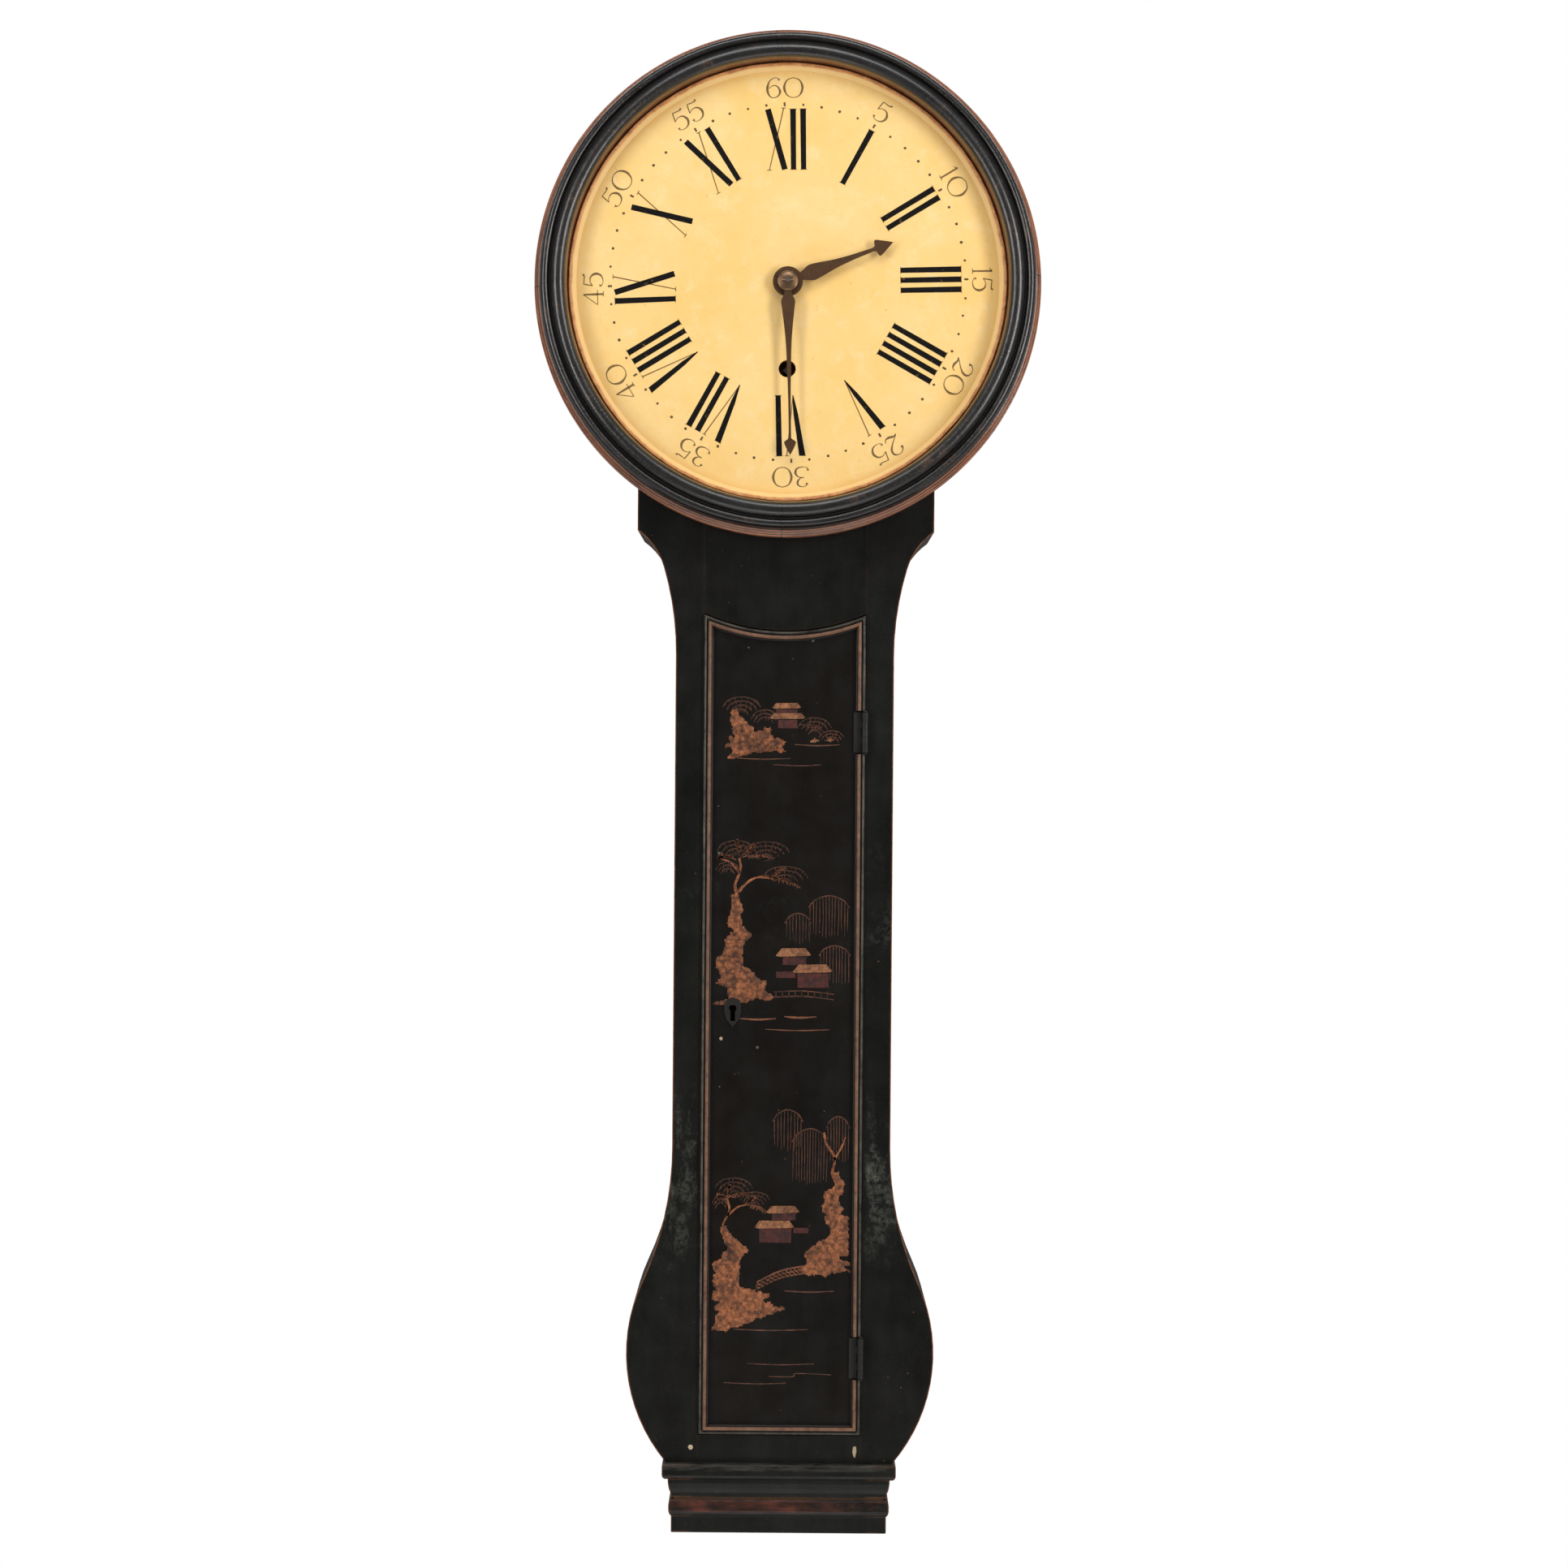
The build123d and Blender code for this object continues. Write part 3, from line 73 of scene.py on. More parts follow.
class Mat:
    """A node material under construction; every method returns a socket."""

    def __init__(self, name):
        self.m = bpy.data.materials.new(name)
        self.m.use_nodes = True
        self.t = self.m.node_tree
        self.t.nodes.clear()
        self.out = self.t.nodes.new("ShaderNodeOutputMaterial")
        self.b = self.t.nodes.new("ShaderNodeBsdfPrincipled")
        self.t.links.new(self.b.outputs[0], self.out.inputs[0])
        self.tc = self.t.nodes.new("ShaderNodeTexCoord")
        self.co = self.tc.outputs["Object"]

    def put(self, sock, v):
        if isinstance(v, bpy.types.NodeSocket):
            self.t.links.new(v, sock)
        else:
            sock.default_value = v

    def set(self, **k):
        for n, v in k.items():
            self.put(self.b.inputs[n.replace("_", " ")], v)
        return self

    def math(self, op, a, b=0.0, c=0.0, clamp=False):
        n = self.t.nodes.new("ShaderNodeMath")
        n.operation, n.use_clamp = op, clamp
        self.put(n.inputs[0], a), self.put(n.inputs[1], b), self.put(n.inputs[2], c)
        return n.outputs[0]

    def scale(self, s, co=None):
        n = self.t.nodes.new("ShaderNodeMapping")
        self.put(n.inputs["Vector"], co or self.co)
        n.inputs["Scale"].default_value = s if hasattr(s, "__len__") else (s, s, s)
        return n.outputs[0]

    def noise(self, scale, detail=4.0, rough=0.55, co=None, stretch=None, dist=0.0):
        n = self.t.nodes.new("ShaderNodeTexNoise")
        self.put(n.inputs["Vector"], self.scale(stretch, co) if stretch else (co or self.co))
        n.inputs["Scale"].default_value = scale
        n.inputs["Detail"].default_value = detail
        n.inputs["Roughness"].default_value = rough
        n.inputs["Distortion"].default_value = dist
        return n.outputs[0]

    def voronoi(self, scale, feature="F1", out="Distance", co=None, rand=1.0):
        n = self.t.nodes.new("ShaderNodeTexVoronoi")
        n.feature = feature
        self.put(n.inputs["Vector"], co or self.co)
        n.inputs["Scale"].default_value = scale
        n.inputs["Randomness"].default_value = rand
        return n.outputs[out]

    def wave(self, scale, dist=0.0, detail=2.0, dscale=1.0, co=None, direction="X"):
        n = self.t.nodes.new("ShaderNodeTexWave")
        n.bands_direction = direction
        self.put(n.inputs["Vector"], co or self.co)
        n.inputs["Scale"].default_value = scale
        n.inputs["Distortion"].default_value = dist
        n.inputs["Detail"].default_value = detail
        n.inputs["Detail Scale"].default_value = dscale
        return n.outputs["Fac"]

    def ramp(self, fac, a, b, lo=0.0, hi=1.0, smooth=False):
        n = self.t.nodes.new("ShaderNodeMapRange")
        n.interpolation_type = "SMOOTHSTEP" if smooth else "LINEAR"
        n.clamp = True
        self.put(n.inputs[0], fac)
        n.inputs[1].default_value, n.inputs[2].default_value = a, b
        n.inputs[3].default_value, n.inputs[4].default_value = lo, hi
        return n.outputs[0]

    def mix(self, fac, a, b):
        n = self.t.nodes.new("ShaderNodeMix")
        n.data_type = "RGBA"
        self.put(n.inputs["Factor"], fac)
        self.put(n.inputs["A"], a), self.put(n.inputs["B"], b)
        return n.outputs["Result"]

    def xyz(self, co=None):
        n = self.t.nodes.new("ShaderNodeSeparateXYZ")
        self.put(n.inputs[0], co or self.co)
        return n.outputs

    def normal_z(self):
        g = self.t.nodes.new("ShaderNodeNewGeometry")
        return g

    def edge(self, radius, lo, hi, samples=6):
        """1 on sharp edges within a radius, 0 on flats."""
        bev = self.t.nodes.new("ShaderNodeBevel")
        bev.samples = samples
        bev.inputs["Radius"].default_value = radius
        geo = self.t.nodes.new("ShaderNodeNewGeometry")
        dot = self.t.nodes.new("ShaderNodeVectorMath")
        dot.operation = "DOT_PRODUCT"
        self.t.links.new(bev.outputs[0], dot.inputs[0])
        self.t.links.new(geo.outputs["Normal"], dot.inputs[1])
        return self.ramp(dot.outputs["Value"], hi, lo, 0.0, 1.0)

    def attr(self, name):
        n = self.t.nodes.new("ShaderNodeAttribute")
        n.attribute_name = name
        return n.outputs["Fac"]

    def bump(self, height, strength=0.3, distance=0.0005, normal=None):
        n = self.t.nodes.new("ShaderNodeBump")
        n.inputs["Strength"].default_value = strength
        n.inputs["Distance"].default_value = distance
        self.put(n.inputs["Height"], height)
        if normal is not None:
            self.t.links.new(normal, n.inputs["Normal"])
        return n.outputs[0]


def add(m, *socks):
    s = socks[0]
    for o in socks[1:]:
        s = m.math("ADD", s, o)
    return s


# ------------------------------------------------------------------ finishes
def base_wear_and_lip_highlight(m, col):
    """Red-brown rubbing on the lower bead of the base, and light grey patches on its top lip: partly scuffs, partly a
    painted highlight where the top face catches the light.
    """
    x, y, z = m.xyz()
    zone = m.math("MULTIPLY", m.ramp(z, ZD - 1.1300, ZD - 1.1320), m.ramp(z, ZD - 1.1462, ZD - 1.1440))
    n = m.math("MULTIPLY", m.ramp(m.noise(15, 6, 0.7, stretch=(1, 1, 3)), 0.40, 0.62), m.ramp(m.noise(120, 5, 0.7, stretch=(0.3, 1, 1)), 0.30, 0.6))
    col = m.mix(m.math("MULTIPLY", m.math("MULTIPLY", zone, n), 0.85), col, srgb(96, 52, 40))
    # painted highlight mixed with scuffs: patchy light grey over the top lip of the base
    lip = m.math("MULTIPLY", m.ramp(z, ZD - 1.1060, ZD - 1.1040), m.ramp(m.noise(70, 6, 0.7, stretch=(0.3, 1, 2)), 0.42, 0.66))
    return m.mix(m.math("MULTIPLY", lip, 0.5), col, srgb(86, 84, 78))


def japan(name, tone=(12, 14, 12), warm=(17, 15, 12), wear_and_rim_light=1.0, haze=1.0, rough=0.36, edges=True, grain=True, extra=None, bare=True):
    """Old black japanning over wood: cloudy gloss, fine craquelure, dust haze, specks, rubbed through to red-brown, and
    copper-red on the outer corners that is partly rubbed-through ground and partly a painted rim light.
    """
    m = Mat(name)
    cloud = m.ramp(m.noise(7, 5, 0.6), 0.35, 0.7)
    streak = m.ramp(m.noise(26, 5, 0.65, stretch=(1, 1, 0.16)), 0.42, 0.72)
    col = m.mix(cloud, srgb(*tone), srgb(*warm))
    col = m.mix(m.math("MULTIPLY", streak, 0.35 * haze), col, srgb(38, 40, 37))
    fine = m.ramp(m.noise(420, 3, 0.6), 0.56, 0.74)
    col = m.mix(m.math("MULTIPLY", fine, 0.22 * haze), col, srgb(52, 52, 47))
    # pale dust and rubbed patches
    patch = m.math("MULTIPLY", m.ramp(m.noise(11, 6, 0.7), 0.60, 0.80), m.ramp(m.noise(160, 4, 0.7), 0.45, 0.62))
    col = m.mix(m.math("MULTIPLY", patch, 0.55 * haze), col, srgb(74, 76, 70))
    # specks where the black has flown
    speck = m.ramp(m.voronoi(120), 0.105, 0.06)
    keep = m.ramp(m.noise(30, 2), 0.60, 0.66)
    speck = m.math("MULTIPLY", speck, keep)
    col = m.mix(m.math("MULTIPLY", speck, 0.6 * wear_and_rim_light), col, srgb(120, 84, 58))
    h = m.math("MULTIPLY", m.noise(900, 2, 0.5), 0.25)
    h = m.math("ADD", h, m.math("MULTIPLY", m.noise(75, 4, 0.55), 0.5))
    if grain:
        g = m.noise(300, 4, 0.6, stretch=(1, 1, 0.03))
        h = m.math("ADD", h, m.math("MULTIPLY", g, 0.35))
    crack = m.ramp(m.voronoi(330, "DISTANCE_TO_EDGE"), 0.0, 0.05)
    h = m.math("ADD", h, m.math("MULTIPLY", crack, 0.16))
    x, y, z = m.xyz()
    ax = m.math("ABSOLUTE", x)
    # rubbed grey patches low on the flanks, where hands and brooms reach
    zone = m.math("MULTIPLY", m.ramp(z, -0.930, -0.985), m.ramp(z, -1.110, -1.060))
    zone = m.math("MULTIPLY", zone, m.ramp(ax, 0.0765, 0.080))
    rub = m.math("MULTIPLY", m.ramp(m.noise(24, 6, 0.75, stretch=(1, 1, 0.4)), 0.50, 0.66), m.ramp(m.noise(230, 4, 0.75), 0.40, 0.60))
    col = m.mix(m.math("MULTIPLY", m.math("MULTIPLY", zone, rub), 0.75 * wear_and_rim_light), col, srgb(96, 96, 88))
    if edges:
        # copper-red along the outer corners of the case: partly red ground rubbed through, partly a painted rim light
        # on the edges that form the silhouette
        e = m.edge(0.0022, 0.90, 0.995)
        e = m.math("MULTIPLY", e, m.ramp(ax, 0.079, 0.084, 0.04, 1.0))
        e = m.math("MULTIPLY", e, m.ramp(z, -1.2872, -1.2845, 1.0 if extra else 0.0, 1.0))
        e = m.math("MULTIPLY", e, m.ramp(m.noise(60, 5, 0.7), 0.30, 0.50))
        e = m.math("MULTIPLY", e, wear_and_rim_light, clamp=True)
        col = m.mix(e, col, m.mix(m.noise(190, 3), srgb(120, 66, 42), srgb(176, 112, 72)))
    if extra:
        col = extra(m, col)
    r = m.ramp(m.noise(34, 5, 0.6), 0.3, 0.75, rough - 0.07, rough + 0.16)
    if bare:
        nx, ny, nz = m.xyz(m.tc.outputs["Normal"])
        side = m.ramp(m.math("MULTIPLY", nx, m.math("SIGN", x)), -0.40, -0.55)
        back = m.math("MULTIPLY", m.ramp(ny, 0.45, 0.60), m.ramp(y, -0.1490, -0.1480))
        inner = m.math("MAXIMUM", m.math("MULTIPLY", side, m.ramp(y, -0.1490, -0.1480)), back)
        grain_n = m.noise(34, 5, 0.6, stretch=(1, 1, 0.07), dist=0.9)
        bare_col = m.mix(m.ramp(grain_n, 0.3, 0.7), srgb(84, 60, 38), srgb(138, 106, 70))
        bare_col = m.mix(m.ramp(m.noise(6, 5, 0.65), 0.44, 0.74, 0.0, 0.65), bare_col, srgb(48, 34, 22))
        col = m.mix(inner, col, bare_col)
        r = m.math("ADD", r, m.math("MULTIPLY", inner, 0.28), clamp=True)
    m.set(Base_Color=col, Roughness=r, Normal=m.bump(h, 0.35, 0.0004))
    m.b.inputs["IOR"].default_value = 1.5
    m.b.inputs["Specular IOR Level"].default_value = 0.2
    m.b.inputs["Coat Weight"].default_value = 0.05
    m.b.inputs["Coat Roughness"].default_value = 0.22
    return m


def wood(name, dark, mid, light, along="z", rough=0.62, scale=1.0, grime=0.5):
    """Bare old wood with growth rings, pores and grime."""
    m = Mat(name)
    st = {"z": (1, 1, 0.06), "x": (0.06, 1, 1), "y": (1, 0.06, 1)}[along]
    base = m.noise(9 * scale, 4, 0.55, stretch=st, dist=1.1)
    rings = m.noise(55 * scale, 5, 0.6, stretch=st, dist=0.6)
    pores = m.ramp(m.noise(620 * scale, 3, 0.7, stretch=st), 0.56, 0.72)
    col = m.mix(m.ramp(base, 0.3, 0.7), srgb(*dark), srgb(*mid))
    col = m.mix(m.ramp(rings, 0.45, 0.75, 0.0, 0.75), col, srgb(*light))
    col = m.mix(m.math("MULTIPLY", pores, 0.6), col, srgb(*[c * 0.45 for c in dark]))
    dirt = m.ramp(m.noise(5, 6, 0.65), 0.42, 0.75)
    col = m.mix(m.math("MULTIPLY", dirt, grime), col, srgb(*[c * 0.42 for c in dark]))
    e = m.edge(0.002, 0.9, 0.995, 4)
    col = m.mix(m.math("MULTIPLY", e, 0.4), col, srgb(*light))
    h = add(m, m.math("MULTIPLY", rings, 0.5), m.math("MULTIPLY", pores, -0.5), m.math("MULTIPLY", m.noise(150, 3), 0.3))
    m.set(Base_Color=col, Roughness=m.ramp(base, 0.3, 0.7, rough - 0.06, rough + 0.14), Normal=m.bump(h, 0.45, 0.0006))
    return m


def metal(name, col_a, col_b, tarnish, rough=0.32, metallic=1.0, brush=(1, 0.05, 1), pits=0.5, tarn=0.4):
    """Aged metal: brushed lines, tarnish clouds, pits and brighter rubbed edges."""
    m = Mat(name)
    brush_n = m.noise(1500, 3, 0.6, stretch=brush)
    cloud = m.ramp(m.noise(38, 6, 0.65), 0.38, 0.70)
    col = m.mix(m.noise(90, 4), srgb(*col_a), srgb(*col_b))
    col = m.mix(m.math("MULTIPLY", cloud, tarn), col, srgb(*tarnish))
    spot = m.ramp(m.voronoi(420), 0.16, 0.06)
    spot = m.math("MULTIPLY", spot, m.ramp(m.noise(60, 3), 0.52, 0.62))
    col = m.mix(m.math("MULTIPLY", spot, pits), col, srgb(*[c * 0.35 for c in tarnish]))
    e = m.edge(0.0009, 0.9, 0.995, 4)
    col = m.mix(m.math("MULTIPLY", e, 0.5), col, srgb(*[min(255, c * 1.18) for c in col_b]))
    h = add(m, m.math("MULTIPLY", brush_n, 0.5), m.math("MULTIPLY", m.noise(210, 4, 0.6), 0.6), m.math("MULTIPLY", spot, -0.6))
    r = m.math("ADD", m.ramp(cloud, 0.0, 1.0, rough - 0.05, rough + 0.16), m.math("MULTIPLY", brush_n, 0.08))
    m.set(Base_Color=col, Roughness=r, Normal=m.bump(h, 0.25, 0.0002))
    m.b.inputs["Metallic"].default_value = metallic
    return m


JAPAN = japan("japanned_black")
JAPAN_DOOR = japan("japanned_door", tone=(16, 13, 10), warm=(20, 15, 11), wear_and_rim_light=0.7, haze=0.6, rough=0.34, edges=False)
JAPAN_BASE = japan("japanned_base", wear_and_rim_light=0.45, edges=True, extra=base_wear_and_lip_highlight, bare=False)
OAK = wood("old_oak", (74, 50, 30), (112, 80, 50), (150, 114, 76))
PINE = wood("old_pine_back", (104, 78, 50), (148, 116, 78), (178, 146, 102), scale=0.7, rough=0.72, grime=0.6)
OAK_X = wood("old_oak_crossways", (70, 47, 28), (106, 76, 48), (142, 108, 72), along="x")
BRASS = metal("aged_brass", (176, 134, 66), (204, 164, 92), (112, 82, 40))
STEEL = metal("dull_steel", (128, 128, 130), (158, 158, 160), (70, 62, 56), rough=0.34)
IRON = metal("dark_iron", (50, 50, 51), (74, 73, 72), (46, 32, 25), rough=0.5, metallic=0.75, pits=0.7)
IRON_BLACK = metal("blacked_iron", (24, 23, 22), (38, 37, 35), (18, 14, 12), rough=0.46, metallic=0.35, pits=0.5)
LEAD = metal("cast_lead", (96, 99, 104), (122, 125, 130), (66, 66, 68), rough=0.58, metallic=0.7, pits=0.6)


def dial_paint():
    """Warm cream oil paint: brushed film, faint mottling, hairline cracks, and a painted shade band round the rim where
    it meets the bead.
    """
    m = Mat("dial_paint")
    x, y, z = m.xyz()
    r = m.math("SQRT", m.math("ADD", m.math("POWER", x, 2.0), m.math("POWER", m.math("SUBTRACT", z, ZD), 2.0)))
    col = m.mix(m.ramp(m.noise(13, 6, 0.65), 0.34, 0.66), srgb(249, 205, 124), srgb(251, 214, 144))
    col = m.mix(m.ramp(m.noise(48, 5, 0.7), 0.52, 0.74, 0.0, 0.7), col, srgb(252, 222, 164))
    col = m.mix(m.ramp(m.noise(110, 5, 0.7), 0.58, 0.76, 0.0, 0.42), col, srgb(238, 188, 104))
    spots = m.math("MULTIPLY", m.ramp(m.voronoi(75), 0.10, 0.05), m.ramp(m.noise(22, 2), 0.60, 0.64))
    col = m.mix(m.math("MULTIPLY", spots, 0.35), col, srgb(190, 140, 80))
    # painted shade: a darker, more orange band round the rim, where the bead and ring overhang the dial
    rim = m.ramp(r, 0.188, 0.1975, smooth=True)
    rim = m.math("MULTIPLY", rim, m.ramp(m.noise(30, 5, 0.6), 0.2, 0.7, 0.2, 0.55))
    col = m.mix(rim, col, srgb(240, 180, 92))
    mid = m.ramp(r, 0.016, 0.006, smooth=True)
    col = m.mix(m.math("MULTIPLY", mid, 0.5), col, srgb(196, 148, 84))
    crack = m.ramp(m.voronoi(85, "DISTANCE_TO_EDGE"), 0.0, 0.012)
    col = m.mix(m.math("MULTIPLY", m.math("SUBTRACT", 1.0, crack), 0.10), col, srgb(150, 104, 56))
    # bare board at the back of the dial
    back = m.ramp(y, -0.1690, -0.1660)
    col = m.mix(back, col, m.mix(m.noise(40, 5, 0.6, stretch=(1, 1, 0.08)), srgb(84, 58, 35), srgb(132, 98, 62)))
    h = add(m, m.math("MULTIPLY", m.noise(500, 3, 0.6, stretch=(0.2, 1, 1)), 0.35), m.math("MULTIPLY", m.noise(70, 4), 0.6),
            m.math("MULTIPLY", crack, 0.2))
    m.set(Base_Color=col, Roughness=m.ramp(m.noise(50, 4), 0.3, 0.7, 0.44, 0.56), Normal=m.bump(h, 0.22, 0.0003))
    m.b.inputs["Specular IOR Level"].default_value = 0.35
    return m


def ink(name, a, b, thin=0.0):
    """Brushed paint of the numerals, a little worn through."""
    m = Mat(name)
    n = m.noise(330, 4, 0.65)
    col = m.mix(m.ramp(n, 0.3, 0.7), srgb(*a), srgb(*b))
    worn = m.ramp(m.noise(170, 5, 0.7), 0.62 - thin, 0.74 - thin)
    col = m.mix(m.math("MULTIPLY", worn, 0.55), col, srgb(176, 136, 80))
    m.set(Base_Color=col, Roughness=m.ramp(n, 0.2, 0.8, 0.6, 0.75), Normal=m.bump(n, 0.2, 0.0002))
    m.b.inputs["Specular IOR Level"].default_value = 0.15
    return m


def ring_finish():
    """Turned ring: black gloss on the front beads, worn to copper-red on the outer reeds."""
    m = Mat("ring_black")
    x, y, z = m.xyz()
    r = m.math("SQRT", m.math("ADD", m.math("POWER", x, 2.0), m.math("POWER", m.math("SUBTRACT", z, ZD), 2.0)))
    ang = m.math("ARCTAN2", x, m.math("SUBTRACT", z, ZD))
    c = m.t.nodes.new("ShaderNodeCombineXYZ")
    m.put(c.inputs[0], m.math("MULTIPLY", ang, 0.05)), m.put(c.inputs[1], m.math("MULTIPLY", r, 3.0)), m.put(c.inputs[2], y)
    along = c.outputs[0]
    black = m.mix(m.noise(9, 4), srgb(17, 15, 14), srgb(24, 21, 19))
    black = m.mix(m.ramp(m.noise(150, 5, 0.65), 0.52, 0.74, 0.0, 0.5), black, srgb(44, 42, 40))
    outer = m.ramp(r, 0.2296, 0.2306)
    worn = m.ramp(m.noise(60, 6, 0.7, co=along), 0.30, 0.56)
    blot = m.ramp(m.noise(46, 5, 0.65), 0.30, 0.52, 0.6, 1.0)
    copper = m.mix(m.noise(240, 4, 0.7), srgb(182, 98, 62), srgb(236, 160, 114))
    reed = m.attr("reed")
    cw = m.math("MULTIPLY", m.math("MULTIPLY", outer, blot), m.math("ADD", m.math("MULTIPLY", worn, 0.55), 0.45))
    cw = m.math("MULTIPLY", cw, m.ramp(reed, 0.0, 1.0, 0.10, 1.0), clamp=True)
    col = m.mix(cw, black, copper)
    # scuffs on the crests of the front beads
    crest = m.math("MULTIPLY", m.attr("crest"), m.ramp(m.noise(38, 6, 0.75), 0.56, 0.70))
    col = m.mix(m.math("MULTIPLY", crest, 0.45), col, srgb(116, 84, 62))
    # partly patchy worn colour, partly painted light: the inner lip is lifted to a lighter red-brown where the torus
    # shades it
    inner = m.math("MULTIPLY", m.ramp(r, 0.2056, 0.2046), m.ramp(m.noise(50, 5, 0.7), 0.26, 0.52, 0.5, 1.0))
    col = m.mix(m.math("MULTIPLY", inner, 0.5), col, srgb(128, 74, 44))
    chip = m.math("MULTIPLY", m.ramp(m.voronoi(95), 0.12, 0.05), m.ramp(m.noise(24, 2), 0.62, 0.66))
    col = m.mix(m.math("MULTIPLY", chip, 0.7), col, srgb(150, 104, 70))
    col = m.mix(m.math("MULTIPLY", m.attr("joint"), 0.9), col, srgb(9, 8, 7))
    crackle = m.ramp(m.voronoi(210, "DISTANCE_TO_EDGE"), 0.0, 0.08)
    h = add(m, m.math("MULTIPLY", m.noise(90, 5, 0.6), 0.7), m.math("MULTIPLY", m.noise(700, 3, 0.6), 0.3), m.math("MULTIPLY", crackle, 0.45),
            m.math("MULTIPLY", m.noise(160, 4, 0.6, co=along), 0.5), m.math("MULTIPLY", chip, -0.6))
    m.set(Base_Color=col, Roughness=m.ramp(m.noise(44, 5, 0.65), 0.3, 0.72, 0.24, 0.42), Normal=m.bump(h, 0.35, 0.0005))
    m.b.inputs["Coat Weight"].default_value = 0.7
    m.b.inputs["Coat Roughness"].default_value = 0.27
    return m


def gilt(name, a=(150, 84, 46), b=(206, 138, 82), red=(116, 52, 34), dull=0.0):
    """Rubbed gilding over red bole."""
    m = Mat(name)
    n = m.noise(60, 6, 0.7)
    col = m.mix(m.ramp(n, 0.3, 0.7), srgb(*a), srgb(*b))
    rub = m.ramp(m.noise(120, 5, 0.7), 0.50, 0.66)
    col = m.mix(m.math("MULTIPLY", rub, 0.7), col, srgb(*red))
    grime = m.ramp(m.noise(34, 5, 0.65), 0.56, 0.76)
    col = m.mix(m.math("MULTIPLY", grime, 0.5), col, srgb(52, 34, 24))
    h = add(m, m.math("MULTIPLY", m.noise(260, 4, 0.65), 0.6), m.math("MULTIPLY", n, 0.5))
    m.set(Base_Color=col, Roughness=m.ramp(rub, 0.0, 1.0, 0.38 + dull, 0.58 + dull), Normal=m.bump(h, 0.35, 0.0004))
    m.b.inputs["Metallic"].default_value = 0.35
    return m


def relief(name, a, b, low, scale=170, gloss=0.46, metal_=0.25):
    """Raised and rubbed gesso of the door's decoration: granular, gilt on the heights, red-brown in the hollows."""
    m = Mat(name)
    v = m.voronoi(scale, "SMOOTH_F1")
    n = m.noise(scale * 1.6, 5, 0.7)
    col = m.mix(m.ramp(n, 0.32, 0.68), srgb(*a), srgb(*b))
    col = m.mix(m.ramp(v, 0.30, 0.75, 0.0, 0.85), col, srgb(*low))
    rub = m.ramp(m.noise(62, 6, 0.75), 0.46, 0.64)
    col = m.mix(m.math("MULTIPLY", rub, 0.72), col, srgb(*[c * 0.8 for c in low]))
    spark = m.math("MULTIPLY", m.ramp(m.voronoi(300), 0.20, 0.10), m.ramp(m.noise(80, 3), 0.50, 0.58))
    col = m.mix(m.math("MULTIPLY", spark, 0.5), col, srgb(*[min(255, c * 1.16) for c in b]))
    h = add(m, m.math("MULTIPLY", v, -1.0), m.math("MULTIPLY", n, 0.5))
    m.set(Base_Color=col, Roughness=m.ramp(n, 0.3, 0.7, gloss, gloss + 0.2), Normal=m.bump(h, 0.7, 0.0007))
    m.b.inputs["Metallic"].default_value = metal_
    return m


def faded_line(name, a, b, gone=(40, 29, 23), amount=0.55):
    """Thin rubbed paint lines."""
    m = Mat(name)
    n = m.noise(420, 4, 0.7)
    col = m.mix(n, srgb(*a), srgb(*b))
    rub = m.ramp(m.noise(95, 5, 0.75), 0.42, 0.60)
    col = m.mix(m.math("MULTIPLY", rub, amount), col, srgb(*gone))
    m.set(Base_Color=col, Roughness=m.ramp(n, 0.2, 0.8, 0.45, 0.65), Normal=m.bump(n, 0.3, 0.0002))
    m.b.inputs["Metallic"].default_value = 0.15
    return m


def bead_paint():
    """The dial's bead: dial paint carried up its inner slope, worn gilt on its crest, and a dark line outside it that
    is painted shade in the crease under the ring.
    """
    m = Mat("dial_bead_paint")
    x, y, z = m.xyz()
    r = m.math("SQRT", m.math("ADD", m.math("POWER", x, 2.0), m.math("POWER", m.math("SUBTRACT", z, ZD), 2.0)))
    r = m.math("ADD", r, m.ramp(m.noise(55, 4, 0.6), 0.3, 0.7, -0.0005, 0.0005))
    n = m.noise(70, 6, 0.7)
    cream = m.mix(n, srgb(247, 200, 122), srgb(252, 216, 150))
    crest = m.mix(m.ramp(n, 0.3, 0.7), srgb(190, 118, 62), srgb(236, 170, 108))
    crest = m.mix(m.math("MULTIPLY", m.ramp(m.noise(130, 5, 0.7), 0.48, 0.66), 0.6), crest, srgb(140, 74, 42))
    col = m.mix(m.ramp(r, 0.1990, 0.2008, smooth=True), cream, crest)
    # painted shade: a dark brown line along the bead's outer edge, in the crease under the ring
    col = m.mix(m.ramp(r, 0.2024, 0.2031), col, srgb(84, 46, 28))
    h = m.math("ADD", m.math("MULTIPLY", m.noise(260, 4, 0.65), 0.6), m.math("MULTIPLY", n, 0.5))
    m.set(Base_Color=col, Roughness=m.ramp(n, 0.3, 0.7, 0.36, 0.52), Normal=m.bump(h, 0.25, 0.0003))
    return m


DIAL = dial_paint()
INK = ink("numeral_black", (7, 6, 5), (17, 14, 11))
INK_THIN = ink("numeral_hairline", (112, 84, 50), (146, 112, 68), 0.03)
INK_GREY = ink("minute_figures", (104, 82, 50), (142, 114, 72), 0.03)
INK_DOT = ink("minute_dot_paint", (84, 64, 42), (118, 92, 60))
RING = ring_finish()
BEAD = bead_paint()
MOULD = gilt("door_bead_gilt", (98, 64, 42), (150, 104, 72), (84, 46, 32), dull=0.08)
HANDS = metal("blackened_hand", (84, 58, 37), (110, 78, 50), (50, 35, 23), rough=0.42, metallic=0.6, tarn=0.55)
COLLET = metal("hand_collet_metal", (122, 94, 68), (164, 132, 102), (66, 48, 36), rough=0.24, metallic=0.85)
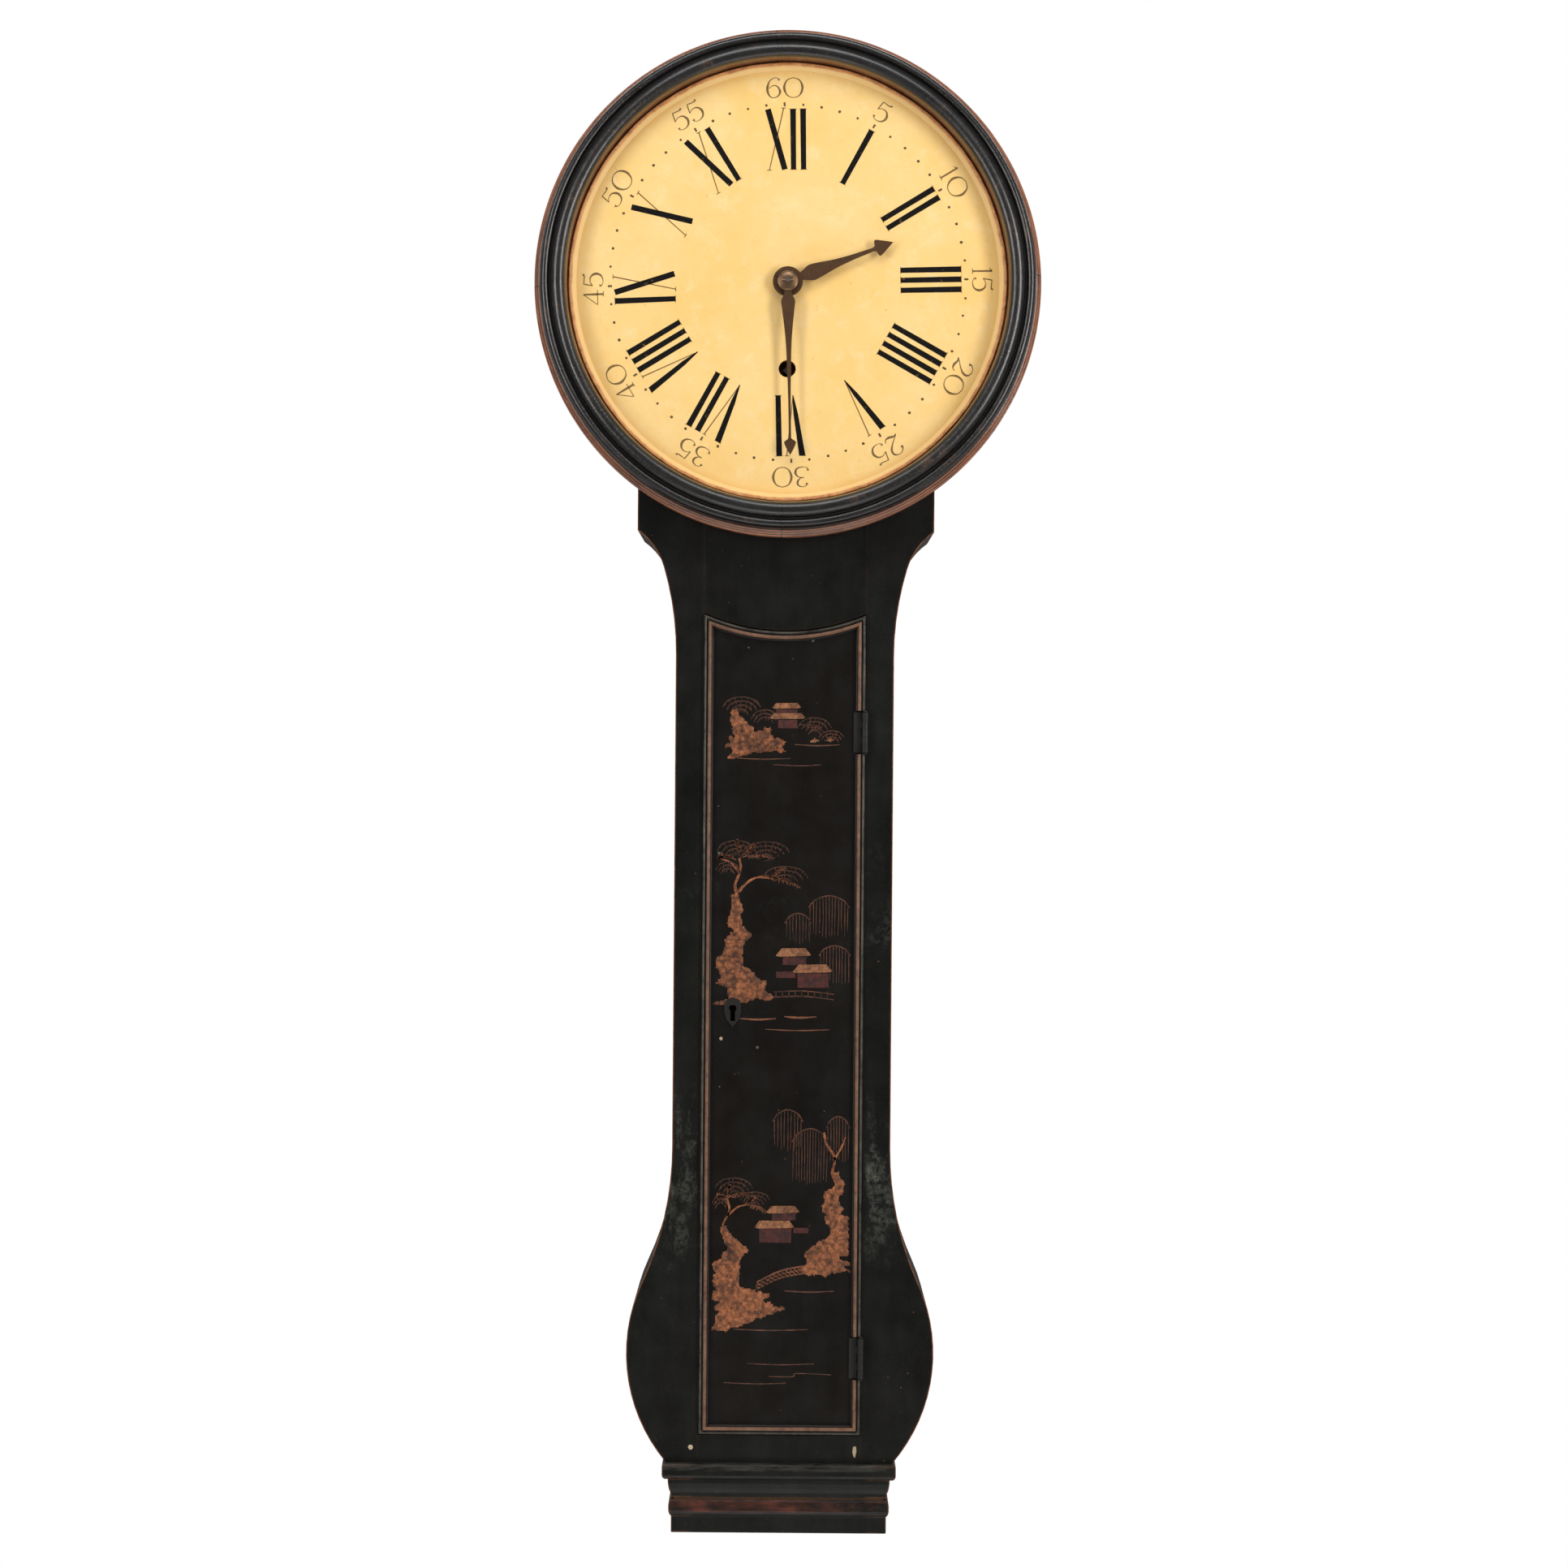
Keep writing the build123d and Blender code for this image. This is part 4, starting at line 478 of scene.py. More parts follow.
ROCK = relief("raised_rock", (104, 55, 32), (186, 116, 70), (44, 22, 14), scale=250)
ROOF = relief("raised_roof", (136, 88, 56), (178, 124, 84), (92, 52, 34), scale=320)
REDS = relief("red_lacquer", (66, 22, 16), (88, 31, 23), (36, 14, 11), scale=240, metal_=0.05)
LINES = faded_line("rubbed_lines", (112, 66, 44), (144, 88, 60), amount=0.65)
LINES_DARK = faded_line("rubbed_dark_lines", (84, 50, 35), (112, 68, 47), amount=0.8)
CHIP = wood("bare_chip", (150, 128, 96), (184, 166, 132), (206, 190, 160), scale=3, grime=0.25)
FILLER = wood("grey_filler", (46, 50, 48), (66, 72, 68), (88, 94, 88), scale=3, grime=0.3)
GUT = wood("gut_amber", (128, 92, 50), (164, 124, 74), (190, 152, 100), scale=4, rough=0.42, grime=0.2)


def paint(node, mat):
    o = N[node]
    o.data.materials.clear()
    o.data.materials.append(mat)


FINISH = {
    "backboard": PINE, "hanging_plate": IRON, "hanging_plate_screws": IRON, "trunk_side_left": JAPAN, "trunk_side_right": JAPAN,
    "front_stile_left": JAPAN, "front_stile_right": JAPAN, "front_rails": JAPAN, "head_side_left": JAPAN,
    "head_side_right": JAPAN, "head_top_board": JAPAN, "base_block": OAK_X, "base_mouldings": JAPAN_BASE, "seatboard": OAK_X,
    "dial_board": DIAL, "dial_battens": OAK_X, "dial_moulding": RING, "dial_bead": BEAD, "hour_hand": HANDS,
    "minute_hand": HANDS, "hand_collet": COLLET, "door_panel": JAPAN_DOOR, "door_moulding": MOULD,
    "door_hinge_leaves": IRON_BLACK, "case_hinge_leaves": IRON_BLACK, "keyhole_escutcheon": IRON_BLACK, "lock_case": IRON, "lock_bolt": STEEL,
    "side_door_left": JAPAN, "side_door_right": JAPAN, "side_door_left_fittings": BRASS, "side_door_right_fittings": BRASS,
    "back_plate": BRASS, "front_plate": BRASS, "movement_pillars": BRASS, "seatboard_fittings": STEEL, "back_cock": BRASS,
    "hour_bridge": BRASS, "centre_arbor": STEEL, "centre_wheel": BRASS, "cannon_pinion": BRASS, "minute_wheel": BRASS,
    "hour_wheel": BRASS, "great_wheel": BRASS, "click": STEEL, "winding_arbor": STEEL, "barrel": BRASS, "third_wheel": BRASS,
    "escape_wheel": BRASS, "pallets_and_crutch": STEEL, "suspension_spring": STEEL, "pendulum_rod": STEEL,
    "pendulum_bob": BRASS, "rating_nut": BRASS, "weight": LEAD, "pulley_block": BRASS, "pulley": BRASS, "gut_loop": GUT,
    "gut_line_running": GUT, "gut_line_fixed": GUT,
}
for node, mat in FINISH.items():
    paint(node, mat.m)
left = sorted(set(N) - set(FINISH))
assert not left, left


# ------------------------------------------------------------------ mesh helpers
def obj(name, verts, faces, mat, body, smooth=True, angle=35):
    me = bpy.data.meshes.new(name)
    me.from_pydata([tuple(v) for v in verts], [], faces)
    me.validate()
    o = bpy.data.objects.new(name, me)
    scene.collection.objects.link(o)
    bm = bmesh.new()
    bm.from_mesh(me)
    bmesh.ops.remove_doubles(bm, verts=bm.verts, dist=1e-7)
    bmesh.ops.recalc_face_normals(bm, faces=bm.faces)
    for f in bm.faces:
        f.smooth = smooth
    for e in bm.edges:
        e.smooth = len(e.link_faces) == 2 and e.calc_face_angle(0) < math.radians(angle)
    bm.to_mesh(me)
    bm.free()
    me.materials.append(mat.m)
    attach(o, body)
    return o


def P(x, h, d):
    """A point from millimetres: x, height above the dial's centre, distance from the wall."""
    return Vector((x * MM, -d * MM, ZD + h * MM))


def prism(outlines, d0, d1):
    """Closed plates from flat outlines of (x, h), from depth d0 (back) to d1 (front)."""
    verts, faces = [], []
    for pts in outlines:
        n, k = len(pts), len(verts)
        verts += [P(x, h, d0) for x, h in pts] + [P(x, h, d1) for x, h in pts]
        faces += [tuple(k + i for i in range(n)), tuple(k + n + i for i in reversed(range(n)))]
        faces += [(k + i, k + n + i, k + n + (i + 1) % n, k + (i + 1) % n) for i in range(n)]
    return verts, faces


def catmull(pts, per=6):
    out = []
    ext = [pts[0]] + list(pts) + [pts[-1]]
    for i in range(1, len(ext) - 2):
        a, b, c, d = ext[i - 1], ext[i], ext[i + 1], ext[i + 2]
        for k in range(per):
            t = k / per
            out.append(tuple(0.5 * (2 * q + (r - p_) * t + (2 * p_ - 5 * q + 4 * r - s) * t * t + (3 * q - p_ - 3 * r + s) * t ** 3)
                             for p_, q, r, s in zip(a, b, c, d)))
    out.append(tuple(pts[-1]))
    return out


def ribbon(pts, d0, d1, per=6, jitter=0.0, rnd=None):
    """A brush stroke of (x, h, width) along a smooth line, as a thin closed strip."""
    line = catmull(pts, per) if len(pts) > 2 else [pts[0], tuple((a + b) / 2 for a, b in zip(pts[0], pts[1])), pts[1]]
    n = len(line)
    verts, faces = [], []
    for i, (x, h, w) in enumerate(line):
        a, b = line[max(0, i - 1)], line[min(n - 1, i + 1)]
        tx, th = b[0] - a[0], b[1] - a[1]
        ln = math.hypot(tx, th) or 1e-9
        nx, nh = -th / ln, tx / ln
        w = max(0.05, w * (1 + (rnd.uniform(-jitter, jitter) if rnd else 0))) / 2
        for s in (1, -1):
            verts += [P(x + s * nx * w, h + s * nh * w, d0), P(x + s * nx * w, h + s * nh * w, d1)]
    for i in range(n - 1):
        a, b = 4 * i, 4 * (i + 1)
        faces += [(a + 1, b + 1, b + 3, a + 3), (a, a + 2, b + 2, b), (a, b, b + 1, a + 1), (a + 2, a + 3, b + 3, b + 2)]
    e = 4 * (n - 1)
    faces += [(0, 1, 3, 2), (e, e + 2, e + 3, e + 1)]
    return verts, faces


def blob(x, h, r, d0, d1, n=10, rnd=None):
    """A small domed dot."""
    ring0 = [(x + r * math.cos(t) * (1 + (rnd.uniform(-0.12, 0.12) if rnd else 0)), h + r * math.sin(t)) for t in
             (2 * math.pi * i / n for i in range(n))]
    verts = [P(a, b, d0) for a, b in ring0] + [P(x + (a - x) * 0.8, h + (b - h) * 0.8, d1) for a, b in ring0] + [P(x, h, d1 + (d1 - d0) * 0.15)]
    faces = [tuple(range(n))] + [(i, n + i, n + (i + 1) % n, (i + 1) % n) for i in range(n)]
    faces += [(n + i, 2 * n, n + (i + 1) % n) for i in range(n)]
    return verts, faces


def join(parts):
    verts, faces = [], []
    for v, f in parts:
        k = len(verts)
        verts += v
        faces += [tuple(k + i for i in q) for q in f]
    return verts, faces


def turned(part, deg):
    """Turns (x, h, ...) tuples clockwise about the dial's centre."""
    a = math.radians(deg)
    return [(x * math.cos(a) + h * math.sin(a), -x * math.sin(a) + h * math.cos(a), *r) for x, h, *r in part]


# ------------------------------------------------------------------ the ring
def ring_profile():
    """(radius, distance from the wall, reed, crest) in millimetres, from the dial edge over the front to the back."""
    pts = []

    def arc(cx, cd, r, a0, a1, n, reed=0, crest=0.0):
        for i in range(n + 1):
            t = math.radians(a0 + (a1 - a0) * i / n)
            pts.append((cx + r * math.cos(t), cd + r * math.sin(t), reed, crest * max(0.0, math.sin(t)) ** 3))

    pts.append((203.8, 170.2, 0, 0))
    pts.append((204.2, 181.0, 0, 0))
    for i in range(19):                                # the main torus, broad and full
        t = math.radians(186 - 188 * i / 18)
        pts.append((211.9 + 7.4 * math.cos(t), 186.6 + 8.5 * math.sin(t), 0, max(0.0, math.sin(t)) ** 3))
    pts.append((219.7, 186.4, 0, 0))
    pts.append((220.5, 186.2, 0, 0))
    arc(224.4, 186.9, 3.6, 172, 8, 9, 0, 0.9)         # second bead
    pts.append((228.7, 184.6, 0, 0))
    for i in range(5):                                 # outer cove
        u = i / 4
        pts.append((228.9 + 0.9 * u * u, 183.6 - 7.2 * u, 0.15, 0))

    def reed(cx, cd, r, lo=78, hi=-62):
        for i in range(8):
            t = math.radians(lo + (hi - lo) * i / 7)
            pts.append((cx + r * math.cos(t), cd + r * math.sin(t), max(0.0, math.cos(t - 0.35)) ** 4, 0))

    reed(229.7, 174.6, 1.8)                            # three reeds, each standing further out
    reed(231.7, 169.6, 1.9)
    reed(233.4, 164.2, 2.0)
    pts.append((234.0, 161.6, 0.0, 0))
    pts.append((235.4, 160.8, 0.7, 0))
    pts.append((235.7, 155.0, 0.5, 0))
    pts.append((235.6, 151.4, 0.7, 0))
    pts.append((235.0, 150.4, 0.5, 0))
    pts.append((206.0, 150.3, 0, 0))
    pts.append((203.6, 152.0, 0, 0))
    return pts


def ring_segment(name, a0, a1, seed):
    prof = ring_profile()
    inner = max(24, int((a1 - a0) / 1.25))
    angles = [a0 + 0.006, a0 + 0.07, a0 + 0.16] + [a0 + 0.25 + (a1 - a0 - 0.5) * i / inner for i in range(inner + 1)] + [a1 - 0.16, a1 - 0.07, a1 - 0.006]
    steps = len(angles) - 1
    verts, faces, reed, crest, joint = [], [], [], [], []
    k = len(prof)
    for i, deg in enumerate(angles):
        t = math.radians(deg)
        for j, (r, d, rd, cr) in enumerate(prof):
            w = noise.noise(Vector((math.sin(t) * 3.1, math.cos(t) * 3.1, j * 0.35 + seed))) * 0.16
            w2 = noise.noise(Vector((math.sin(t) * 22, math.cos(t) * 22, j * 1.7 + seed * 3))) * 0.10
            rr = r + (w + w2 if 204 < r < 235.2 else 0)
            dd = d + (w - w2 if 152.5 < d < 194 else 0)
            verts.append(P(min(rr, 235.8) * math.sin(t), min(rr, 235.8) * math.cos(t), min(dd, 195.2)))
            reed.append(rd)
            crest.append(cr)
            joint.append(1.0 if i in (0, 1, steps - 1, steps) else 0.0)
    for i in range(steps):
        for j in range(k):
            a, b = i * k + j, i * k + (j + 1) % k
            faces.append((a, b, b + k, a + k))
    faces += [tuple(range(k)), tuple(steps * k + j for j in reversed(range(k)))]
    me = bpy.data.meshes.new(name)
    me.from_pydata(verts, [], faces)
    o = bpy.data.objects.new(name, me)
    scene.collection.objects.link(o)
    for nm, vals in (("reed", reed), ("crest", crest), ("joint", joint)):
        at = me.attributes.new(nm, "FLOAT", "POINT")
        at.data.foreach_set("value", vals)
    bm = bmesh.new()
    bm.from_mesh(me)
    bmesh.ops.recalc_face_normals(bm, faces=bm.faces)
    for f in bm.faces:
        f.smooth = len(f.verts) == 4
    for e in bm.edges:
        e.smooth = len(e.link_faces) == 2 and e.calc_face_angle(0) < math.radians(48)
    bm.to_mesh(me)
    bm.free()
    me.materials.append(RING.m)
    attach(o, "case")
    return o


# segments clockwise from the joint near three o'clock
for i, (a0, a1) in enumerate(((-3.0, 88.0), (88.0, 181.0), (181.0, 268.5), (268.5, 357.0))):
    s = ring_segment(f"ring_segment_{i + 1}", a0, a1, 7 + i * 11)
    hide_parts("dial_moulding")


def bead_piece():
    prof = [(203.35, 170.15), (203.35, 173.9), (202.9, 174.5), (202.2, 174.7), (201.4, 174.6), (200.6, 174.1), (199.9, 173.3), (199.0, 172.5),
            (198.0, 171.8), (197.2, 171.2), (196.6, 170.7), (196.1, 170.4), (196.02, 170.15)]
    steps, k = 288, len(prof)
    verts, faces = [], []
    for i in range(steps):
        t = 2 * math.pi * i / steps
        w = noise.noise(Vector((math.sin(t) * 4, math.cos(t) * 4, 3.3))) * 0.18 + noise.noise(Vector((math.sin(t) * 30, math.cos(t) * 30, 1))) * 0.08
        for j, (r, d) in enumerate(prof):
            rr = r + (w if 1 < j < k - 2 else 0)
            verts.append(P(rr * math.sin(t), rr * math.cos(t), d + (w if 1 < j < k - 2 else 0)))
    for i in range(steps):
        for j in range(k):
            a, b = i * k + j, i * k + (j + 1) % k
            c, d = (i + 1) % steps * k + (j + 1) % k, (i + 1) % steps * k + j
            faces.append((a, b, c, d))
    o = obj("dial_bead_turned", verts, faces, BEAD, "case", angle=50)
    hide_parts("dial_bead")


bead_piece()

# ------------------------------------------------------------------ dial paint work
FACE = 170.0
D0, D1 = FACE + 0.02, FACE + 0.16
rnd = random.Random(11)
T0, T1 = 104.7, 160.7  # inner and outer radius of the chapter
SP = 9.3               # stroke spacing


def bar(x, w=5.3):
    return [(x - w / 2 * 0.90, T0), (x - w / 2, T1), (x + w / 2, T1), (x + w / 2 * 0.90, T0)]


def quad(x0, y0, x1, y1, w0, w1):
    tx, ty = x1 - x0, y1 - y0
    ln = math.hypot(tx, ty)
    nx, ny = -ty / ln, tx / ln
    return [(x0 + nx * w0 / 2, y0 + ny * w0 / 2), (x1 + nx * w1 / 2, y1 + ny * w1 / 2),
            (x1 - nx * w1 / 2, y1 - ny * w1 / 2), (x0 - nx * w0 / 2, y0 - ny * w0 / 2)]


def roman(text):
    """Thick strokes and hairlines of one numeral, feet to the centre, centred on x = 0."""
    widths = {"I": SP, "V": 22.0, "X": 22.0}
    total = sum(widths[c] for c in text)
    x = -total / 2
    thick, thin = [], []
    for c in text:
        m = x + widths[c] / 2
        if c == "I":
            thick.append(bar(m))
            thin += [quad(m - 3.6, T1 + 0.1, m + 3.6, T1 + 0.1, 0.5, 0.5), quad(m - 3.4, T0 - 0.1, m + 3.4, T0 - 0.1, 0.5, 0.5)]
        elif c == "V":
            thick.append([(m + 1.55, T0), (m - 2.44, T0 + 16.8), (m - 8.7, T1), (m - 2.9, T1), (m + 1.76, T0 + 16.8), (m + 2.45, T0)])
            thin += [quad(m + 2.2, T0 + 3, m + 8.6, T1, 0.8, 1.1), quad(m + 6.4, T1, m + 10.4, T1, 0.6, 0.6),
                     quad(m - 9.4, T1 + 0.1, m - 2.6, T1 + 0.1, 0.5, 0.5)]
        else:
            thick.append(quad(m - 7.6, T1, m + 7.6, T0, 5.3, 5.3))
            thin += [quad(m + 7.0, T1 + 1.0, m - 6.8, T0 - 0.6, 1.1, 0.9), quad(m + 4.8, T1 + 1.0, m + 9.2, T1 + 1.0, 0.7, 0.7),
                     quad(m - 9.0, T0 - 0.6, m - 4.8, T0 - 0.6, 0.7, 0.7)]
        x += widths[c]
    return thick, thin


TILT = {"XII": 0.5, "IIII": 0.9, "IX": -1.2, "X": -0.5, "XI": -0.5, "VII": 0.2}
names = ["XII", "I", "II", "III", "IIII", "V", "VI", "VII", "VIII", "IX", "X", "XI"]
for i, text in enumerate(names):
    thick, thin = roman(text)
    tilt = 30 * i - 1.5 + TILT.get(text, 0.0)
    v, f = prism([turned(q, tilt) for q in thick], D0, D1)
    obj(f"hour_figure_{i or 12}", v, f, INK, "case", smooth=False)
    v, f = prism([turned(q, tilt) for q in thin], D0, D1 - 0.04)
    obj(f"hour_hairline_{i or 12}", v, f, INK_THIN, "case", smooth=False)

# minute dots, with a small lozenge at each five
parts = []
for k in range(60):
    r = 165.2 + rnd.uniform(-0.3, 0.3)
    a = math.radians(6 * k - 1.5 + rnd.uniform(-0.2, 0.2))
    if k % 5:
        parts.append(blob(r * math.sin(a), r * math.cos(a), 1.3 + rnd.uniform(-0.15, 0.15), D0, D1, rnd=rnd))
    else:
        for dr in (-0.9, 0.9):
            parts.append(blob((r + dr) * math.sin(a), (r + dr) * math.cos(a), 1.15, D0, D1 + 0.01 * dr, 8, rnd))
v, f = join(parts)
obj("minute_dots", v, f, INK_DOT, "case")

DIGITS = {  # strokes of (x, y, width) in a box one unit high
    "0": [[(0.44, 0.985, .03), (0.17, 0.86, .05), (0.045, 0.5, .10), (0.17, 0.14, .05), (0.44, 0.015, .03), (0.71, 0.14, .05), (0.835, 0.5, .10), (0.71, 0.86, .05), (0.44, 0.985, .03)]],
    "1": [[(0.16, 0.97, .075), (0.16, 0.5, .07), (0.16, 0.03, .075)], [(0.02, 0.84, .02), (0.10, 0.9, .03), (0.16, 0.97, .05)], [(0.04, 0.015, .03), (0.28, 0.015, .03)]],
    "2": [[(0.10, 0.68, .12), (0.09, 0.80, .06), (0.20, 0.94, .03), (0.36, 0.985, .03), (0.55, 0.88, .07), (0.57, 0.66, .09), (0.42, 0.42, .05), (0.20, 0.20, .025), (0.05, 0.04, .03)],
          [(0.05, 0.04, .03), (0.18, 0.10, .07), (0.40, 0.03, .10), (0.57, 0.06, .04), (0.64, 0.20, .02)]],
    "3": [[(0.10, 0.80, .11), (0.16, 0.93, .03), (0.32, 0.985, .03), (0.50, 0.88, .07), (0.50, 0.70, .08), (0.38, 0.56, .03), (0.24, 0.53, .02)],
          [(0.24, 0.53, .02), (0.46, 0.50, .04), (0.60, 0.32, .09), (0.54, 0.10, .07), (0.30, 0.01, .03), (0.10, 0.06, .03), (0.06, 0.19, .11)]],
    "4": [[(0.46, 0.985, .03), (0.24, 0.66, .025), (0.01, 0.31, .03)], [(0.01, 0.30, .03), (0.32, 0.30, .03), (0.64, 0.30, .03)],
          [(0.46, 0.985, .05), (0.46, 0.5, .085), (0.46, 0.02, .085)], [(0.36, 0.015, .03), (0.58, 0.015, .03)]],
    "5": [[(0.56, 0.99, .10), (0.50, 0.92, .05), (0.34, 0.93, .04), (0.15, 0.965, .03)], [(0.15, 0.965, .045), (0.11, 0.76, .045), (0.07, 0.53, .04)],
          [(0.07, 0.53, .02), (0.24, 0.64, .03), (0.46, 0.60, .06), (0.58, 0.36, .10), (0.50, 0.11, .07), (0.28, 0.01, .03), (0.09, 0.07, .03), (0.06, 0.19, .11)]],
    "6": [[(0.56, 0.86, .10), (0.52, 0.95, .03), (0.36, 0.985, .03), (0.14, 0.82, .05), (0.045, 0.44, .10), (0.13, 0.12, .06), (0.32, 0.01, .03), (0.53, 0.13, .06), (0.59, 0.34, .09), (0.48, 0.56, .05), (0.30, 0.61, .02), (0.12, 0.48, .03)]],
}
WIDE = {"0": 0.88, "1": 0.32, "2": 0.66, "3": 0.64, "4": 0.68, "5": 0.64, "6": 0.64}
HGT, BASE_R = 19.0, 171.0
for k in range(1, 13):
    text = str(5 * k)
    gap = 0.09
    total = sum(WIDE[c] for c in text) + gap * (len(text) - 1)
    x = -total / 2
    parts = []
    for c in text:
        for stroke in DIGITS[c]:
            pts = [((x + px) * HGT * 1.13, BASE_R + py * HGT, max(0.7, w * HGT * 1.18)) for px, py, w in stroke]
            parts.append(ribbon(turned(pts, 30 * k - (2.3 if k == 9 else 1.3)), D0, D1 - 0.03, 5, 0.05, rnd))
        x += WIDE[c] + gap
    v, f = join(parts)
    obj(f"minute_figure_{5 * k}", v, f, INK_GREY, "case", smooth=False)


# ------------------------------------------------------------------ hands
MINUTE_ANGLE, HOUR_ANGLE = 178.8, 69.2


def bevelled(name, outline_pts, hole_r, d0, d1, mat, body, angle, bevel=0.45, replaces=None):
    """A filed plate with softened edges and a hole on the dial's centre."""
    bm = bmesh.new()
    pts = turned(outline_pts, angle)
    outer = [bm.verts.new(P(x, h, d1)) for x, h in pts]
    edges = [bm.edges.new((outer[i], outer[(i + 1) % len(outer)])) for i in range(len(outer))]
    if hole_r:
        inner = [bm.verts.new(P(hole_r * math.sin(t), hole_r * math.cos(t), d1)) for t in (2 * math.pi * i / 24 for i in range(24))]
        edges += [bm.edges.new((inner[i], inner[(i + 1) % 24])) for i in range(24)]
    bmesh.ops.triangle_fill(bm, use_beauty=True, edges=edges)
    front = list(bm.faces)
    ret = bmesh.ops.extrude_face_region(bm, geom=front)
    for v in [g for g in ret["geom"] if isinstance(g, bmesh.types.BMVert)]:
        v.co.y = -d0 * MM
    bmesh.ops.recalc_face_normals(bm, faces=bm.faces)
    me = bpy.data.meshes.new(name)
    bm.to_mesh(me)
    bm.free()
    o = bpy.data.objects.new(name, me)
    scene.collection.objects.link(o)
    b = o.modifiers.new("edge", "BEVEL")
    b.width, b.segments, b.limit_method, b.angle_limit = bevel * MM, 2, "ANGLE", math.radians(50)
    b.harden_normals = True
    me.materials.append(mat.m)
    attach(o, body)
    if replaces:
        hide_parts(replaces)
    return o


def hand_outline(boss, neck, shape, tip):
    """Half outline of (x, h) from the boss to the point, mirrored."""
    pts = []
    a0 = math.degrees(math.asin(neck / boss))
    n = 40
    for i in range(n + 1):
        t = math.radians(a0 + (360 - 2 * a0) * i / n)
        pts.append((boss * math.sin(t), boss * math.cos(t)))
    left_side = [(-x, h) for x, h in shape]
    right_side = [(x, h) for x, h in reversed(shape)]
    return pts + left_side + [(0.0, tip)] + right_side


def smooth_side(pts, per=5):
    return [(x, h) for x, h in catmull(pts, per)]


hour_shape = smooth_side([(4.2, 15.5), (7.4, 23.0), (6.6, 32), (4.2, 46), (2.6, 62), (1.9, 78), (1.6, 84.0)]) + \
    smooth_side([(2.6, 86.6), (7.1, 87.8), (7.5, 89.9), (5.0, 94.8), (2.3, 99.9)], 4)
bevelled("hour_hand_filed", hand_outline(13.9, 3.6, hour_shape, 104.0), 3.55, 176.05, 177.45, HANDS, "hour", HOUR_ANGLE, 0.4,
         replaces="hour_hand")
minute_shape = smooth_side([(3.4, 12.6), (6.4, 18.0), (5.8, 26), (4.2, 40), (2.8, 56), (1.9, 78), (1.2, 110), (1.1, 145.5)]) + \
    smooth_side([(2.2, 146.6), (5.1, 148.6), (5.3, 150.4), (3.8, 154.2), (1.7, 158.2)], 4)
bevelled("minute_hand_filed", hand_outline(9.9, 3.0, minute_shape, 161.0), 3.3, 180.25, 181.65, HANDS, "centre", MINUTE_ANGLE, 0.35,
         replaces="minute_hand")
# turned rings on the hour hand's boss
parts = []
for r0, r1, dd in ((10.6, 12.6, 0.30),):
    prof = [(r0, 0.0), (r0 + 0.3, dd), (r1 - 0.3, dd), (r1, 0.0)]
    v, f, k = [], [], 4
    for i in range(64):
        t = 2 * math.pi * i / 64
        v += [P(r * math.sin(t), r * math.cos(t), 177.3 + d) for r, d in prof]
    for i in range(64):
        for j in range(4):
            a, b = i * 4 + j, i * 4 + (j + 1) % 4
            c, e = (i + 1) % 64 * 4 + (j + 1) % 4, (i + 1) % 64 * 4 + j
            f.append((a, b, c, e))
    parts.append((v, f))
v, f = join(parts)
obj("hour_hand_boss_ring", v, f, HANDS, "hour")


# ------------------------------------------------------------------ door moulding
DOOR_HW, CORNER, DIP, BOTTOM = 75.6, -306.8, -322.7, -1072.0
SAG = CORNER - DIP
DOOR_R = (DOOR_HW ** 2 + SAG ** 2) / (2 * SAG)
DOOR_C = DIP + DOOR_R
HINGE_H, HINGE_LEN = (-416.5, -1000.0), 37.5


def door_line(inset, side):
    """Points of the door outline at an inset, of one side, matched in number."""
    w, r, b = DOOR_HW - inset, DOOR_R + inset, BOTTOM + inset
    hc = DOOR_C - math.sqrt(r * r - w * w)
    if side == "top":
        n = 30
        return [(x, DOOR_C - math.sqrt(r * r - x * x)) for x in (-w + 2 * w * i / n for i in range(n + 1))]
    if side == "bottom":
        n = 12
        return [(w - 2 * w * i / n, b) for i in range(n + 1)]
    xs = w if side == "right" else -w
    stations = [CORNER - 26 + (BOTTOM + 14 - CORNER + 26) * i / 56 for i in range(57)]
    for c in HINGE_H:
        stations = [q for q in stations if abs(q - c) > HINGE_LEN / 2 + 3.2] + [c + HINGE_LEN / 2 + 1.6, c - HINGE_LEN / 2 - 1.6, c]
    run = [hc] + sorted(stations, reverse=True) + [b]
    return [(xs, q) for q in (run if side == "right" else reversed(run))]


# (inset, depth) over the moulding: thumb edge, hollow, bead and inner quirk
M_PROF = [(0.0, 150.02), (0.1, 152.2), (0.7, 153.3), (1.6, 153.9), (2.5, 153.6), (3.1, 152.9), (3.7, 152.9)] + \
    [(5.7 - 2.0 * math.cos(math.radians(a)), 153.3 + 2.5 * math.sin(math.radians(a))) for a in (5, 30, 55, 80, 105, 130, 155, 175)] + \
    [(8.1, 152.3), (8.6, 152.2), (9.2, 151.4), (9.5, 150.02)]


